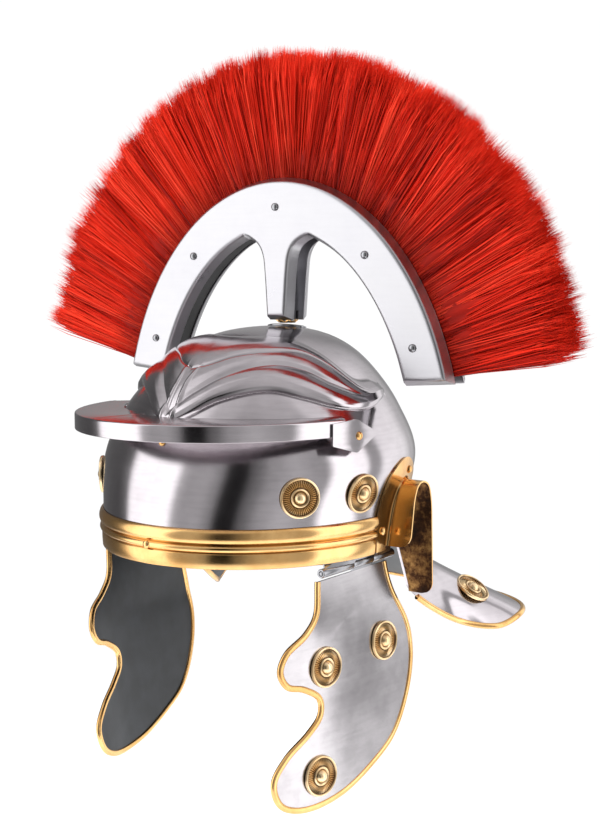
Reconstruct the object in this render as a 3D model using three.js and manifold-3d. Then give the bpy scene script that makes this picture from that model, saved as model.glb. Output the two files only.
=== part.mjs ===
// A Roman legionary helmet with raised brows, a brow peak, hinged cheek guards and an upright hair crest.
// Millimetres, +Z up. The face looks along -Y and the wearer's left is +X.
// The origin is the middle of the head opening, level with the rim of the bowl.
import * as THREE from "three";
import { mergeVertices } from "three/addons/utils/BufferGeometryUtils.js";
import Module from "manifold-3d";

const wasm = await Module();
wasm.setup();

// Fits: GAP parts neighbouring pieces, MARGIN is how far cutting shapes run past what they cut
const GAP = 0.3;
const MARGIN = 10;
const FACETS = 10;

// Bowl
const BOWL_HEIGHT = 157;
const RIM_HALF_WIDTH = 106.5;
const RIM_FRONT = 116;
const RIM_BACK = 112;
const APEX_SET_BACK = 26;
const PLATE = 1.6;
const SHOULDER_ANGLE = 13;
// Half width, front reach and back reach as shares of the rim's, at each tilt in degrees above the rim.
const BOWL_SECTIONS = [
  { tilt: 0, width: 1, front: 1, back: 1 },
  { tilt: 9.9, width: 1.02, front: 1.006, back: 1.07 },
  { tilt: 24.5, width: 1.07, front: 0.966, back: 1.13 },
  { tilt: 39, width: 0.94, front: 0.885, back: 0.95 },
  { tilt: 52.7, width: 0.745, front: 0.742, back: 0.748 },
  { tilt: 65.6, width: 0.54, front: 0.554, back: 0.53 },
  { tilt: 77.2, width: 0.325, front: 0.354, back: 0.285 },
  { tilt: 90, width: 0, front: 0, back: 0 },
];

// Raised brows, as shares of the bowl's height at each turn in degrees from the front
const BROW_RAISE = 5.5;
const BROW_END_ANGLE = 107;
const BROW_FADE_ANGLE = 11;
const BROWS = [
  { turn: 0, low: 0.573, groove: 0.643, crease: 0.809, top: 0.962 },
  { turn: 8, low: 0.624, groove: 0.72, crease: 0.828, top: 0.962 },
  { turn: 20, low: 0.694, groove: 0.796, crease: 0.863, top: 0.962 },
  { turn: 38, low: 0.732, groove: 0.831, crease: 0.879, top: 0.959 },
  { turn: 55, low: 0.7, groove: 0.809, crease: 0.873, top: 0.943 },
  { turn: 70, low: 0.656, groove: 0.745, crease: 0.815, top: 0.885 },
  { turn: 85, low: 0.643, groove: 0.688, crease: 0.72, top: 0.777 },
  { turn: 98, low: 0.672, groove: 0.7, crease: 0.72, top: 0.761 },
  { turn: 106, low: 0.7, groove: 0.71, crease: 0.72, top: 0.745 },
];

// Neck guard: its edge as shares of these three, by the turn where it leaves the bowl
const NECK_HALF_WIDTH = 147;
const NECK_REACH = 191;
const NECK_DROP = 74;
const NECK_SAG = 14;
const NECK_START_ANGLE = 102;
const NECK_FRONT_ANGLE = 118;
const NECK_EDGE = [
  { turn: 102, side: 0.7, back: 0.12, drop: 0.02 },
  { turn: 110, side: 0.71, back: 0.2, drop: 0.27 },
  { turn: 118, side: 0.73, back: 0.314, drop: 0.58 },
  { turn: 128, side: 0.823, back: 0.513, drop: 0.905 },
  { turn: 138, side: 0.952, back: 0.654, drop: 1 },
  { turn: 146, side: 1, back: 0.775, drop: 0.92 },
  { turn: 154, side: 0.925, back: 0.89, drop: 0.89 },
  { turn: 163, side: 0.714, back: 0.963, drop: 0.865 },
  { turn: 172, side: 0.374, back: 0.995, drop: 0.85 },
  { turn: 180, side: 0, back: 1, drop: 0.84 },
];
const TRIM_RADIUS = 2.3;

// Brass brow band: height shares and how far each line stands off the bowl
const BAND_HEIGHT = 27;
const BAND_LOW = -0.5;
const BAND_END_ANGLE = 89.6;
const BAND_RIVET_RISE = 0.51;
const BAND_PROFILE = [
  { rise: 0, out: 1.5 },
  { rise: 0.38, out: 1.5 },
  { rise: 0.41, out: 0.9 },
  { rise: 0.45, out: 2.6 },
  { rise: 0.51, out: 2.9 },
  { rise: 0.57, out: 2.6 },
  { rise: 0.6, out: 0.9 },
  { rise: 0.64, out: 2 },
  { rise: 0.79, out: 3.2 },
  { rise: 0.93, out: 2.4 },
  { rise: 1, out: 0.9 },
];

// Brow peak: a flat crescent on an oval crease, with its rim turned down
const PEAK_SHARE = 0.63;
const PEAK_LEVEL = PEAK_SHARE * BOWL_HEIGHT;
const PEAK_HALF_WIDTH = 112;
const PEAK_LENGTH = 128;
const PEAK_CENTRE = -16;
const PEAK_FLANGE = 11.5;
const PEAK_END_ANGLE = 79;
const PEAK_PLATE = 1.5;
const PEAK_CLEAR = 1;
const PEAK_STEPS = 34;
const END_PLATE_FRONT = -53;
const END_PLATE_BACK = -8;
const END_PLATE_TALL = 23;
const END_PLATE_DROP = 12;
const END_PLATE_MIDDLE = PEAK_LEVEL - END_PLATE_DROP;
// The end plate's corners: along is the share from its front to its back, rise the share of half its height.
const END_PLATE_OUTLINE = [
  { along: 0, rise: -0.45 },
  { along: 0.5, rise: -1 },
  { along: 1, rise: -0.1 },
  { along: 1, rise: 0.1 },
  { along: 0.5, rise: 1 },
  { along: 0, rise: 0.85 },
];
const END_RIVET_ALONG = 0.545;

// Ear guard: the arch over the ear in the side plane, and the leaf that carries it
const EAR_OUT = 126;
const EAR_WALL = 1.2;
const EAR_CENTRE = 35.5;
const EAR_HALF = 13.5;
const EAR_TOP = 48.5;
const EAR_FOOT = 37;
const EAR_CORNER = 9;
const EAR_ARCH = [
  { side: -1.3, rise: 0.05 },
  { side: -1.08, rise: 0.42 },
  { side: -0.82, rise: 0.8 },
  { side: -0.46, rise: 0.965 },
  { side: 0.02, rise: 1 },
  { side: 0.52, rise: 0.93 },
  { side: 0.8, rise: 0.72 },
  { side: 0.93, rise: 0.2 },
  { side: 1.04, rise: -0.76 },
];
const LEAF_LENGTH = 60;
const LEAF_TALL = 65;
const LEAF_OUTLINE = [
  { along: 0.03, rise: 0 },
  { along: 0.01, rise: 0.46 },
  { along: 0.15, rise: 0.83 },
  { along: 0.54, rise: 1 },
  { along: 0.77, rise: 0.95 },
  { along: 0.96, rise: 0.77 },
  { along: 1, rise: 0.42 },
  { along: 0.98, rise: 0 },
];

const LEAF_RIVETS = [
  { name: "low", along: 0.147, rise: 0.231 },
  { name: "high", along: 0.683, rise: 0.854 },
];

// Rosettes and rivets
const ROSETTE_RADIUS = 14;
const RIVET_RADIUS = 3;
const SEAT_LIFT = 0.5;
const DOME_TIP = 1.12;
const ROSETTE_PROFILE = [
  { across: 1, rise: 0 },
  { across: 0.94, rise: 2 },
  { across: 0.84, rise: 1.2 },
  { across: 0.32, rise: 2.6 },
  { across: 0.12, rise: 4.2 },
];
const RIVET_PROFILE = [
  { across: 1, rise: 0 },
  { across: 0.86, rise: 0.9 },
  { across: 0.45, rise: 1.7 },
];

// Places of the bowl's rosettes: reach is a share of the rim's front reach, rise of the bowl's height
const BOWL_ROSETTES = [
  { name: "front", reach: -0.569, rise: 0.3 },
  { name: "back", reach: -0.172, rise: 0.293 },
];
const NECK_ROSETTE = { turn: 145.4, way: 1.864 };

// Hinges of the cheek guards
const HINGE_X = 98;
const HINGE_Z = -6.5;
const HINGE_FRONT = -51.8;
const HINGE_BACK = 36.9;
const KNUCKLE_FRONT = -15.5;
const KNUCKLE_BACK = 9.5;
const BARREL_RADIUS = 3.2;
const PIN_RADIUS = 1.5;
const BORE_RADIUS = 1.9;
const LEAF_PLATE = 1.4;
const LEAF_CLEAR = 0.9;
const LEAF_FRONT_INSET = 3;
const LEAF_BACK_INSET = 5;
const LEAF_BEND = 4;
const HINGE_LEAF_TALL = 20;
const LEFT_HANG_ANGLE = 3;
const RIGHT_HANG_ANGLE = -9.6;

// Cheek guards: reach along Y and drop below the hinge line, as shares of these two
const GUARD_REACH = 100;
const GUARD_LENGTH = 156;
const GUARD_PLATE = 1.4;
const GUARD_BOW_DROP = 60;
const GUARD_STEPS = 34;
const GUARD_GRID = 27;
const GUARD_OUTLINE = [
  { reach: -0.56, drop: 0.03 },
  { reach: -0.6, drop: 0.17 },
  { reach: -0.71, drop: 0.245 },
  { reach: -0.87, drop: 0.31 },
  { reach: -0.92, drop: 0.385 },
  { reach: -0.87, drop: 0.45 },
  { reach: -0.74, drop: 0.48 },
  { reach: -0.61, drop: 0.54 },
  { reach: -0.61, drop: 0.61 },
  { reach: -0.72, drop: 0.68 },
  { reach: -0.9, drop: 0.76 },
  { reach: -1.01, drop: 0.85 },
  { reach: -0.97, drop: 0.95 },
  { reach: -0.82, drop: 1 },
  { reach: -0.46, drop: 0.99 },
  { reach: -0.12, drop: 0.915 },
  { reach: 0.14, drop: 0.82 },
  { reach: 0.32, drop: 0.65 },
  { reach: 0.39, drop: 0.48 },
  { reach: 0.36, drop: 0.32 },
  { reach: 0.28, drop: 0.165 },
  { reach: 0.26, drop: 0.03 },
];
// How far the plate bows out of the hinge's plane, as a share of the reach
const GUARD_BOW = [
  { reach: -1.05, out: -0.11 },
  { reach: -0.92, out: -0.075 },
  { reach: -0.62, out: 0.01 },
  { reach: -0.2, out: 0.07 },
  { reach: 0.41, out: 0.12 },
  { reach: 0.6, out: 0.13 },
];
const GUARD_ROSETTES = [
  { reach: -0.55, drop: 0.405 },
  { reach: 0.07, drop: 0.37 },
  { reach: -0.64, drop: 0.875 },
];

// Crest holder: an upright arch with a stem, its face an oval band
const CREST_FACE = 26;
const CREST_COVER = 9;
const CREST_SLOT = 12;
const CREST_FLARE = 5;
const ARCH_HALF_WIDTH = 153;
const ARCH_RISE = 202;
const ARCH_DROP = 96.5;
const ARCH_CENTRE = BOWL_HEIGHT - ARCH_DROP;
const ARCH_BAND = 30;
const ARCH_END_ANGLE = 18.3;
const ARCH_INNER_ANGLE = 20;
const ARCH_STEM_ANGLE = 72;
const STEM_CLEAR = 9;
const STEM_FOOT = BOWL_HEIGHT + STEM_CLEAR;
const STEM_TALL = 62;
const STEM_HALF = 30;
const STEM = [
  { rise: 0, half: 0.22 },
  { rise: 0.52, half: 0.3 },
  { rise: 0.7, half: 0.35 },
  { rise: 0.83, half: 0.47 },
  { rise: 0.92, half: 0.67 },
  { rise: 0.985, half: 1 },
];
const CREST_RIVET_IN = 17;
const CREST_RIVET_TURNS = [26.3, 52.8, 90, 127.2, 153.7];
const SHANK_RADIUS = 1.4;
const POST_HALF_WIDTH = 5;
const POST_TALL = 41;
const POST_TOP = BOWL_HEIGHT + POST_TALL;
const BASE_HALF_WIDTH = 16.5;
const BASE_HALF_LENGTH = 11;
const BASE_PLATE = 1.2;
const WASHER_RADIUS = 9;
const WASHER_TALL = 1.8;

// Hair: a fan from the arch out to a round outline, in locks
const HAIR_RADIUS = 247;
const HAIR_DROP = 41;
const HAIR_CENTRE = BOWL_HEIGHT - HAIR_DROP;
const HAIR_END_ANGLE = 7;
const HAIR_LOCKS = 19;
const HAIR_HALF = 18;
const LOCK_STEP = 6;
const LOCK_WAIST = 0.8;
const HAIR_SECTION = [
  { out: 0, half: 0.29 },
  { out: 0.035, half: 0.3 },
  { out: 0.14, half: 0.56 },
  { out: 0.85, half: 1 },
  { out: 0.98, half: 0.6 },
];

const steel = { color: 0xb9b7b8, roughness: 0.3, metalness: 1 };
const brightSteel = { color: 0xd4d4d6, roughness: 0.2, metalness: 1 };
const brass = { color: 0xd2a244, roughness: 0.24, metalness: 1 };
const paintedWood = { color: 0x17181a, roughness: 0.6, metalness: 0 };
const redHair = { color: 0xc9241a, roughness: 0.8, metalness: 0 };

const rad = THREE.MathUtils.degToRad;
const clamp = THREE.MathUtils.clamp;
const vec = (x, y, z) => new THREE.Vector3(x, y, z);

// Reads a table's column at a key between its rows, along a smooth curve through them.
function along(table, key, column, at) {
  const last = table.length - 1;
  let i = 0;
  while (i < last - 1 && at > table[i + 1][key]) i += 1;
  const slope = (k) => {
    const before = table[Math.max(k - 1, 0)];
    const after = table[Math.min(k + 1, last)];
    return (after[column] - before[column]) / (after[key] - before[key]);
  };
  const from = table[i];
  const to = table[i + 1];
  const span = to[key] - from[key];
  const u = clamp((at - from[key]) / span, 0, 1);
  const ease = u * u * (3 - 2 * u);
  const bend = span * u * (1 - u) * ((1 - u) * slope(i) - u * slope(i + 1));
  return from[column] + (to[column] - from[column]) * ease + bend;
}

// Turns triangles over a list of points into a manifold solid that faces outwards.
function solidOf(points, triangles) {
  const positions = new Float32Array(points.flatMap((p) => [p.x, p.y, p.z]));
  const geometry = new THREE.BufferGeometry();
  geometry.setAttribute("position", new THREE.BufferAttribute(positions, 3));
  geometry.setIndex(triangles.flat());
  return solidFrom(geometry);
}

function solidFrom(geometry) {
  const bare = geometry.clone();
  bare.deleteAttribute("normal");
  bare.deleteAttribute("uv");
  const merged = mergeVertices(bare, 1e-3);
  const kept = [];
  for (let i = 0; i < merged.index.count; i += 3) {
    const [a, b, c] = [0, 1, 2].map((k) => merged.index.getX(i + k));
    if (a !== b && b !== c && c !== a) kept.push([a, b, c]);
  }
  const build = (faces) =>
    new wasm.Manifold(
      new wasm.Mesh({
        numProp: 3,
        vertProperties: merged.attributes.position.array,
        triVerts: new Uint32Array(faces.flat()),
      }),
    );
  const solid = build(kept);
  return solid.volume() < 0 ? build(kept.map(([a, b, c]) => [a, c, b])) : solid;
}

function geometryOf(solid) {
  const mesh = solid.getMesh();
  const positions = new Float32Array(mesh.numVert * 3);
  for (let i = 0; i < mesh.numVert; i += 1) {
    for (let k = 0; k < 3; k += 1) {
      positions[i * 3 + k] = mesh.vertProperties[i * mesh.numProp + k];
    }
  }
  const geometry = new THREE.BufferGeometry();
  geometry.setAttribute("position", new THREE.BufferAttribute(positions, 3));
  geometry.setIndex(Array.from(mesh.triVerts));
  return geometry;
}

function piece(name, solid, look) {
  const mesh = new THREE.Mesh(geometryOf(solid), new THREE.MeshStandardMaterial(look));
  mesh.name = name;
  return mesh;
}

// Joins two grids of points into one closed skin: a front, a back and their borders.
function skinBetween(front, back, closedRound) {
  const points = [...front.flat(), ...back.flat()];
  const columns = front[0].length;
  const start = front.length * columns;
  const faces = [];
  const quad = (a, b, c, d) => faces.push([a, b, c], [a, c, d]);
  const steps = closedRound ? columns : columns - 1;
  const cover = (rows, offset, flip) => {
    for (let r = 0; r < rows - 1; r += 1) {
      for (let c = 0; c < steps; c += 1) {
        const next = (c + 1) % columns;
        const low = offset + r * columns;
        const high = low + columns;
        if (flip) quad(low + c, high + c, high + next, low + next);
        else quad(low + c, low + next, high + next, high + c);
      }
    }
  };
  cover(front.length, 0, false);
  cover(back.length, start, true);
  const frontEnd = (front.length - 1) * columns;
  const backEnd = start + (back.length - 1) * columns;
  for (let c = 0; c < steps; c += 1) {
    const next = (c + 1) % columns;
    quad(frontEnd + c, frontEnd + next, backEnd + next, backEnd + c);
    if (!closedRound) quad(next, c, start + c, start + next);
  }
  if (!closedRound) {
    for (let r = 0; r < front.length - 1; r += 1) {
      const a = r * columns;
      const b = a + columns;
      quad(a, b, start + b, start + a);
      quad(b + columns - 1, a + columns - 1, start + a + columns - 1, start + b + columns - 1);
    }
  }
  return solidOf(points, faces);
}

// Carries one closed outline through several stations and caps both ends.
function sweep(rings, outline) {
  const count = outline.length;
  const faces = [];
  for (let r = 0; r < rings.length - 1; r += 1) {
    for (let i = 0; i < count; i += 1) {
      const a = r * count + i;
      const b = r * count + ((i + 1) % count);
      faces.push([a, b, b + count], [a, b + count, a + count]);
    }
  }
  const end = (rings.length - 1) * count;
  const clockwise = THREE.ShapeUtils.isClockWise(outline);
  for (const [a, p, q] of THREE.ShapeUtils.triangulateShape(outline, [])) {
    const [b, c] = clockwise ? [q, p] : [p, q];
    faces.push([a, c, b], [end + a, end + b, end + c]);
  }
  return solidOf(rings.flat(), faces);
}

// Moves each corner of a closed outline out along its own bisector.
function grown(outline, amount) {
  const turnsLeft = !THREE.ShapeUtils.isClockWise(outline);
  const count = outline.length;
  return outline.map((point, i) => {
    const before = outline[(i + count - 1) % count];
    const after = outline[(i + 1) % count];
    const into = point.clone().sub(before).normalize();
    const away = after.clone().sub(point).normalize();
    const normalIn = new THREE.Vector2(into.y, -into.x);
    const normalOut = new THREE.Vector2(away.y, -away.x);
    const bisector = normalIn.clone().add(normalOut).normalize();
    const stretch = 1 / Math.max(bisector.dot(normalIn), 0.5);
    return point.clone().addScaledVector(bisector, (turnsLeft ? 1 : -1) * amount * stretch);
  });
}

const sidePlane = new THREE.Matrix4().makeBasis(vec(0, 1, 0), vec(0, 0, 1), vec(1, 0, 0));

// Extrudes an outline drawn in the Y Z plane along X.
function sidePrism(outline, from, to) {
  const geometry = new THREE.ExtrudeGeometry(new THREE.Shape(outline), {
    depth: to - from,
    bevelEnabled: false,
  });
  return solidFrom(geometry.translate(0, 0, from).applyMatrix4(sidePlane));
}

// A sheet over the Y Z plane that follows surface(y, z) in X, trimmed to an outline.
function sheet(outline, surface, inner, outer, step) {
  const box = new THREE.Box2().setFromPoints(outline).expandByScalar(1);
  const size = box.getSize(new THREE.Vector2());
  const columns = Math.ceil(size.x / step);
  const rows = Math.ceil(size.y / step);
  const layer = (offset) =>
    Array.from({ length: rows + 1 }, (_, r) =>
      Array.from({ length: columns + 1 }, (_, c) => {
        const y = box.min.x + (size.x * c) / columns;
        const z = box.min.y + (size.y * r) / rows;
        return vec(surface(y, z) + offset, y, z);
      }),
    );
  const front = layer(outer);
  const back = layer(inner);
  const reach = [...front.flat(), ...back.flat()].map((p) => p.x);
  const prism = sidePrism(outline, Math.min(...reach) - 1, Math.max(...reach) + 1);
  return skinBetween(front, back, false).intersect(prism);
}

function box(x0, x1, y0, y1, z0, z1) {
  const geometry = new THREE.BoxGeometry(x1 - x0, y1 - y0, z1 - z0);
  return solidFrom(geometry.translate((x0 + x1) / 2, (y0 + y1) / 2, (z0 + z1) / 2));
}

// A rod along Y between two stations.
function rodAlongY(radius, x, z, from, to) {
  const geometry = new THREE.CylinderGeometry(radius, radius, to - from, FACETS);
  return solidFrom(geometry.translate(x, (from + to) / 2, z));
}

function lathe(profile, radius, sides) {
  const points = [new THREE.Vector2(0, 0)];
  profile.forEach((row) => points.push(new THREE.Vector2(row.across * radius, row.rise)));
  const last = profile[profile.length - 1];
  points.push(new THREE.Vector2(0, last.rise * DOME_TIP));
  const geometry = new THREE.LatheGeometry(points, sides);
  return solidFrom(geometry.rotateX(Math.PI / 2));
}

function tube(curve, radius, steps, sides) {
  const section = Array.from({ length: sides }, (_, i) => {
    const angle = (2 * Math.PI * i) / sides;
    return new THREE.Vector2(radius * Math.cos(angle), radius * Math.sin(angle));
  });
  const geometry = new THREE.ExtrudeGeometry(new THREE.Shape(section), {
    steps,
    extrudePath: curve,
    bevelEnabled: false,
  });
  return solidFrom(geometry);
}

// Bowl surface

function bowlPoint(turn, tilt) {
  const rise = Math.sin(rad(tilt));
  const share = (column) => Math.max(along(BOWL_SECTIONS, "tilt", column, tilt), 0);
  const sine = Math.sin(rad(turn));
  const cosine = Math.cos(rad(turn));
  const width = share("width") * RIM_HALF_WIDTH;
  const reach = cosine > 0 ? share("front") * RIM_FRONT : share("back") * RIM_BACK;
  const radius = tilt > 89.9 ? 0 : 1 / Math.hypot(sine / width, cosine / reach);
  const middle = APEX_SET_BACK * rise * rise;
  return vec(radius * sine, middle - radius * cosine, BOWL_HEIGHT * rise);
}

function tiltAt(z) {
  return (Math.asin(clamp(z / BOWL_HEIGHT, 0, 1)) * 180) / Math.PI;
}

// Half width of the bowl's side at a place in the Y Z plane.
function bowlSide(y, z) {
  const tilt = tiltAt(z);
  const rise = Math.sin(rad(tilt));
  const across = y - APEX_SET_BACK * rise * rise;
  const width = along(BOWL_SECTIONS, "tilt", "width", tilt) * RIM_HALF_WIDTH;
  const front = along(BOWL_SECTIONS, "tilt", "front", tilt) * RIM_FRONT;
  const back = along(BOWL_SECTIONS, "tilt", "back", tilt) * RIM_BACK;
  const share = across / (across < 0 ? front : back);
  return width * Math.sqrt(Math.max(1 - share * share, 0));
}

// How far the brows stand out of the bowl: three rolls between four lines.
function browRaise(turn, z) {
  const side = Math.abs(turn);
  if (side > BROW_END_ANGLE) return 0;
  const lines = ["low", "groove", "crease", "top"].map(
    (line) => BOWL_HEIGHT * along(BROWS, "turn", line, side),
  );
  const fade = Math.sqrt(clamp((BROW_END_ANGLE - side) / BROW_FADE_ANGLE, 0, 1));
  for (let i = 0; i < 3; i += 1) {
    const share = (z - lines[i]) / (lines[i + 1] - lines[i]);
    if (share > 0 && share < 1) return BROW_RAISE * fade * Math.sqrt(Math.sin(Math.PI * share));
  }
  return 0;
}

// The skin from the apex (0) past the shoulder (1) to the edge (2), with the neck guard behind.
function skinPoint(turn, way) {
  const side = Math.abs(turn);
  const sign = turn < 0 ? -1 : 1;
  let point;
  if (way <= 1) {
    point = bowlPoint(side, 90 - (90 - SHOULDER_ANGLE) * way);
  } else if (side <= NECK_START_ANGLE) {
    point = bowlPoint(side, SHOULDER_ANGLE * (2 - way));
  } else if (way < 4 / 3) {
    point = bowlPoint(side, SHOULDER_ANGLE * (1 - 3 * (way - 1)));
  } else {
    const v = (3 * (way - 1) - 1) / 2;
    const nape = bowlPoint(side, 0);
    const outward = vec(nape.x, nape.y, 0).normalize();
    const bend = nape.clone().addScaledVector(outward, NECK_SAG / 4);
    bend.z -= NECK_SAG;
    const edge = neckEdge(side);
    point = nape.multiplyScalar((1 - v) * (1 - v));
    point.addScaledVector(bend, 2 * v * (1 - v)).addScaledVector(edge, v * v);
  }
  point.x *= sign;
  return point;
}

function neckEdge(side) {
  return vec(
    NECK_HALF_WIDTH * along(NECK_EDGE, "turn", "side", side),
    NECK_REACH * along(NECK_EDGE, "turn", "back", side),
    -NECK_DROP * along(NECK_EDGE, "turn", "drop", side),
  );
}

function skinNormal(turn, way) {
  if (way < 0.01) return vec(0, 0, 1);
  const small = 0.01;
  const lower = Math.max(way - small, 0.001);
  const acrossTurn = skinPoint(turn + small, way).sub(skinPoint(turn - small, way));
  const acrossWay = skinPoint(turn, way + small).sub(skinPoint(turn, lower));
  return acrossWay.cross(acrossTurn).normalize();
}

function skinAt(turn, way, offset, brows) {
  const point = skinPoint(turn, way);
  const raise = brows ? browRaise(turn, point.z) : 0;
  return point.addScaledVector(skinNormal(turn, way), offset + raise);
}

// Turns of the grid's columns over one half, finer where the ear and the neck guard's corner are
const HALF_TURNS = [
  ...Array.from({ length: 13 }, (_, i) => 7.5 * i),
  ...[96, 101.9, 107, 113, 118, 123, 128, 133, 138, 143, 148, 154, 162, 171],
];
const TURNS = [...HALF_TURNS, 180, ...HALF_TURNS.slice(1).reverse().map((turn) => -turn)];
const UPPER_TILTS = [90, 78, 69, 64.5, 60.5, 56.5, 53, 49.5, 46, 42.5, 38.7, 34.8, 24, 13];
const UPPER_WAYS = UPPER_TILTS.map((tilt) => (90 - tilt) / (90 - SHOULDER_ANGLE));
const LOWER_WAYS = [1.333, 1.5, 1.667, 1.833, 2];
const OUTER_WAYS = [...UPPER_WAYS, ...LOWER_WAYS];
const INNER_WAYS = [0, 0.2, 0.42, 0.7, 1, 1.333, 1.6, 2];

function skinGrid(ways, offset, brows) {
  return ways.map((way) => TURNS.map((turn) => skinAt(turn, way, offset, brows)));
}

// The room that the bowl fills, grown by the gap, to trim what stands on it.
function bowlRoom() {
  const outer = skinGrid(OUTER_WAYS, GAP, false);
  const middle = vec(0, 0, -BOWL_HEIGHT);
  return skinBetween(outer, [TURNS.map(() => middle), TURNS.map(() => middle)], true);
}

// Ear arch

function earPoint(row) {
  return new THREE.Vector3(EAR_CENTRE + EAR_HALF * row.side, EAR_TOP * row.rise, 0);
}

const earCurve = new THREE.CatmullRomCurve3(EAR_ARCH.map(earPoint), false, "centripetal");

// The arch's line moved sideways by an amount, from the front foot to the back foot.
function earLine(offset) {
  const steps = 18;
  return Array.from({ length: steps + 1 }, (_, i) => {
    const at = earCurve.getPointAt(i / steps);
    const way = earCurve.getTangentAt(i / steps);
    return new THREE.Vector2(at.x - way.y * offset, at.y + way.x * offset);
  });
}

function earHole() {
  const inside = earLine(-EAR_WALL / 2);
  const below = -EAR_FOOT - 3 * MARGIN;
  const first = inside[0];
  const last = inside[inside.length - 1];
  const outline = [
    new THREE.Vector2(first.x, below),
    ...inside,
    new THREE.Vector2(last.x, below),
  ];
  return sidePrism(outline, RIM_HALF_WIDTH / 2, EAR_OUT + MARGIN);
}

// Rounded end of the arch's wall, seen from the front, between two stations along Y.
function earFootprint(foot, from, to) {
  const shape = new THREE.Shape();
  shape.moveTo(RIM_HALF_WIDTH - 2 * MARGIN, foot);
  shape.lineTo(EAR_OUT - EAR_CORNER, foot);
  shape.absarc(EAR_OUT - EAR_CORNER, foot + EAR_CORNER, EAR_CORNER, -Math.PI / 2, 0, false);
  shape.lineTo(EAR_OUT, EAR_TOP + MARGIN);
  shape.lineTo(RIM_HALF_WIDTH - 2 * MARGIN, EAR_TOP + MARGIN);
  const geometry = new THREE.ExtrudeGeometry(shape, {
    depth: to - from,
    bevelEnabled: false,
    curveSegments: 4,
  });
  return solidFrom(geometry.rotateX(Math.PI / 2).translate(0, to, 0));
}

function earGuard(hole, room) {
  const outside = earLine(EAR_WALL / 2);
  const inside = earLine(-EAR_WALL / 2).reverse();
  const wall = sidePrism([...outside, ...inside], RIM_HALF_WIDTH - 2 * MARGIN, EAR_OUT);
  const frontFoot = earFootprint(EAR_TOP * EAR_ARCH[0].rise, EAR_CENTRE - 4 * EAR_HALF, EAR_CENTRE);
  const backFoot = earFootprint(-EAR_FOOT, EAR_CENTRE - GAP, EAR_CENTRE + 4 * EAR_HALF);
  const outline = LEAF_OUTLINE.map(
    (row) => new THREE.Vector2(row.along * LEAF_LENGTH, row.rise * LEAF_TALL),
  );
  const leaf = sheet(outline, bowlSide, GAP, GAP + EAR_WALL, 13).subtract(hole);
  return leaf.add(wall.intersect(frontFoot.add(backFoot))).subtract(room);
}

// Cheek guards, in the hinge's own frame: the axis is the Y axis

function guardBow(y, z) {
  const out = GUARD_REACH * along(GUARD_BOW, "reach", "out", y / GUARD_REACH);
  const share = clamp(-z / GUARD_BOW_DROP, 0, 1);
  return out * share * share * (3 - 2 * share);
}

const guardCurve = new THREE.CatmullRomCurve3(
  GUARD_OUTLINE.map((row) => vec(GUARD_REACH * row.reach, -GUARD_LENGTH * row.drop, 0)),
  false,
  "centripetal",
);

function guardOutline(steps) {
  return guardCurve.getSpacedPoints(steps).map((p) => new THREE.Vector2(p.x, p.y));
}

function cheekGuard() {
  const outline = guardOutline(GUARD_STEPS);
  const plate = sheet(outline, guardBow, -GUARD_PLATE / 2, GUARD_PLATE / 2, GUARD_GRID);
  const tab = box(
    -GUARD_PLATE / 2,
    GUARD_PLATE / 2,
    KNUCKLE_FRONT + GAP,
    KNUCKLE_BACK - GAP,
    -GUARD_LENGTH * 0.06,
    -BORE_RADIUS,
  );
  const knuckle = rodAlongY(BARREL_RADIUS, 0, 0, KNUCKLE_FRONT + GAP, KNUCKLE_BACK - GAP);
  const bore = rodAlongY(BORE_RADIUS, 0, 0, HINGE_FRONT - MARGIN, HINGE_BACK + MARGIN);
  return plate.add(tab).add(knuckle).subtract(bore);
}

function cheekTrim() {
  const line = guardOutline(GUARD_STEPS).map((p) => vec(guardBow(p.x, p.y), p.x, p.y));
  const edge = tube(new THREE.CatmullRomCurve3(line, false, "centripetal"), TRIM_RADIUS, GUARD_STEPS, 6);
  const half = GUARD_PLATE / 2 + GAP;
  const slot = sheet(grown(guardOutline(GUARD_STEPS), GAP), guardBow, -half, half, GUARD_GRID);
  return edge.subtract(slot);
}

// The fixed half of the hinge: a leaf inside the bowl with a knuckle at each end.
function hingeLeaf() {
  const inner = -PLATE - LEAF_CLEAR - LEAF_PLATE;
  const surface = (y, z) => {
    const share = clamp((BARREL_RADIUS / 3 + z) / -LEAF_BEND, 0, 1);
    return THREE.MathUtils.lerp(bowlSide(y, z), HINGE_X - inner - 0.85 * LEAF_PLATE, share);
  };
  const front = HINGE_FRONT + LEAF_FRONT_INSET;
  const back = HINGE_BACK - LEAF_BACK_INSET;
  const outline = [
    new THREE.Vector2(front, HINGE_Z),
    new THREE.Vector2(back, HINGE_Z),
    new THREE.Vector2(back, HINGE_LEAF_TALL),
    new THREE.Vector2(front, HINGE_LEAF_TALL),
  ];
  const leaf = sheet(outline, surface, inner, inner + LEAF_PLATE, 8);
  const clearance = BARREL_RADIUS + 2 * GAP;
  const reach = box(
    HINGE_X - MARGIN,
    HINGE_X + MARGIN,
    KNUCKLE_FRONT,
    KNUCKLE_BACK,
    HINGE_Z - clearance,
    HINGE_Z + clearance,
  );
  const first = rodAlongY(BARREL_RADIUS, HINGE_X, HINGE_Z, HINGE_FRONT, KNUCKLE_FRONT);
  const second = rodAlongY(BARREL_RADIUS, HINGE_X, HINGE_Z, KNUCKLE_BACK, HINGE_BACK);
  const bore = rodAlongY(BORE_RADIUS, HINGE_X, HINGE_Z, HINGE_FRONT - MARGIN, HINGE_BACK + MARGIN);
  return leaf.subtract(reach).add(first).add(second).subtract(bore);
}

// Brass brow band

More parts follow.
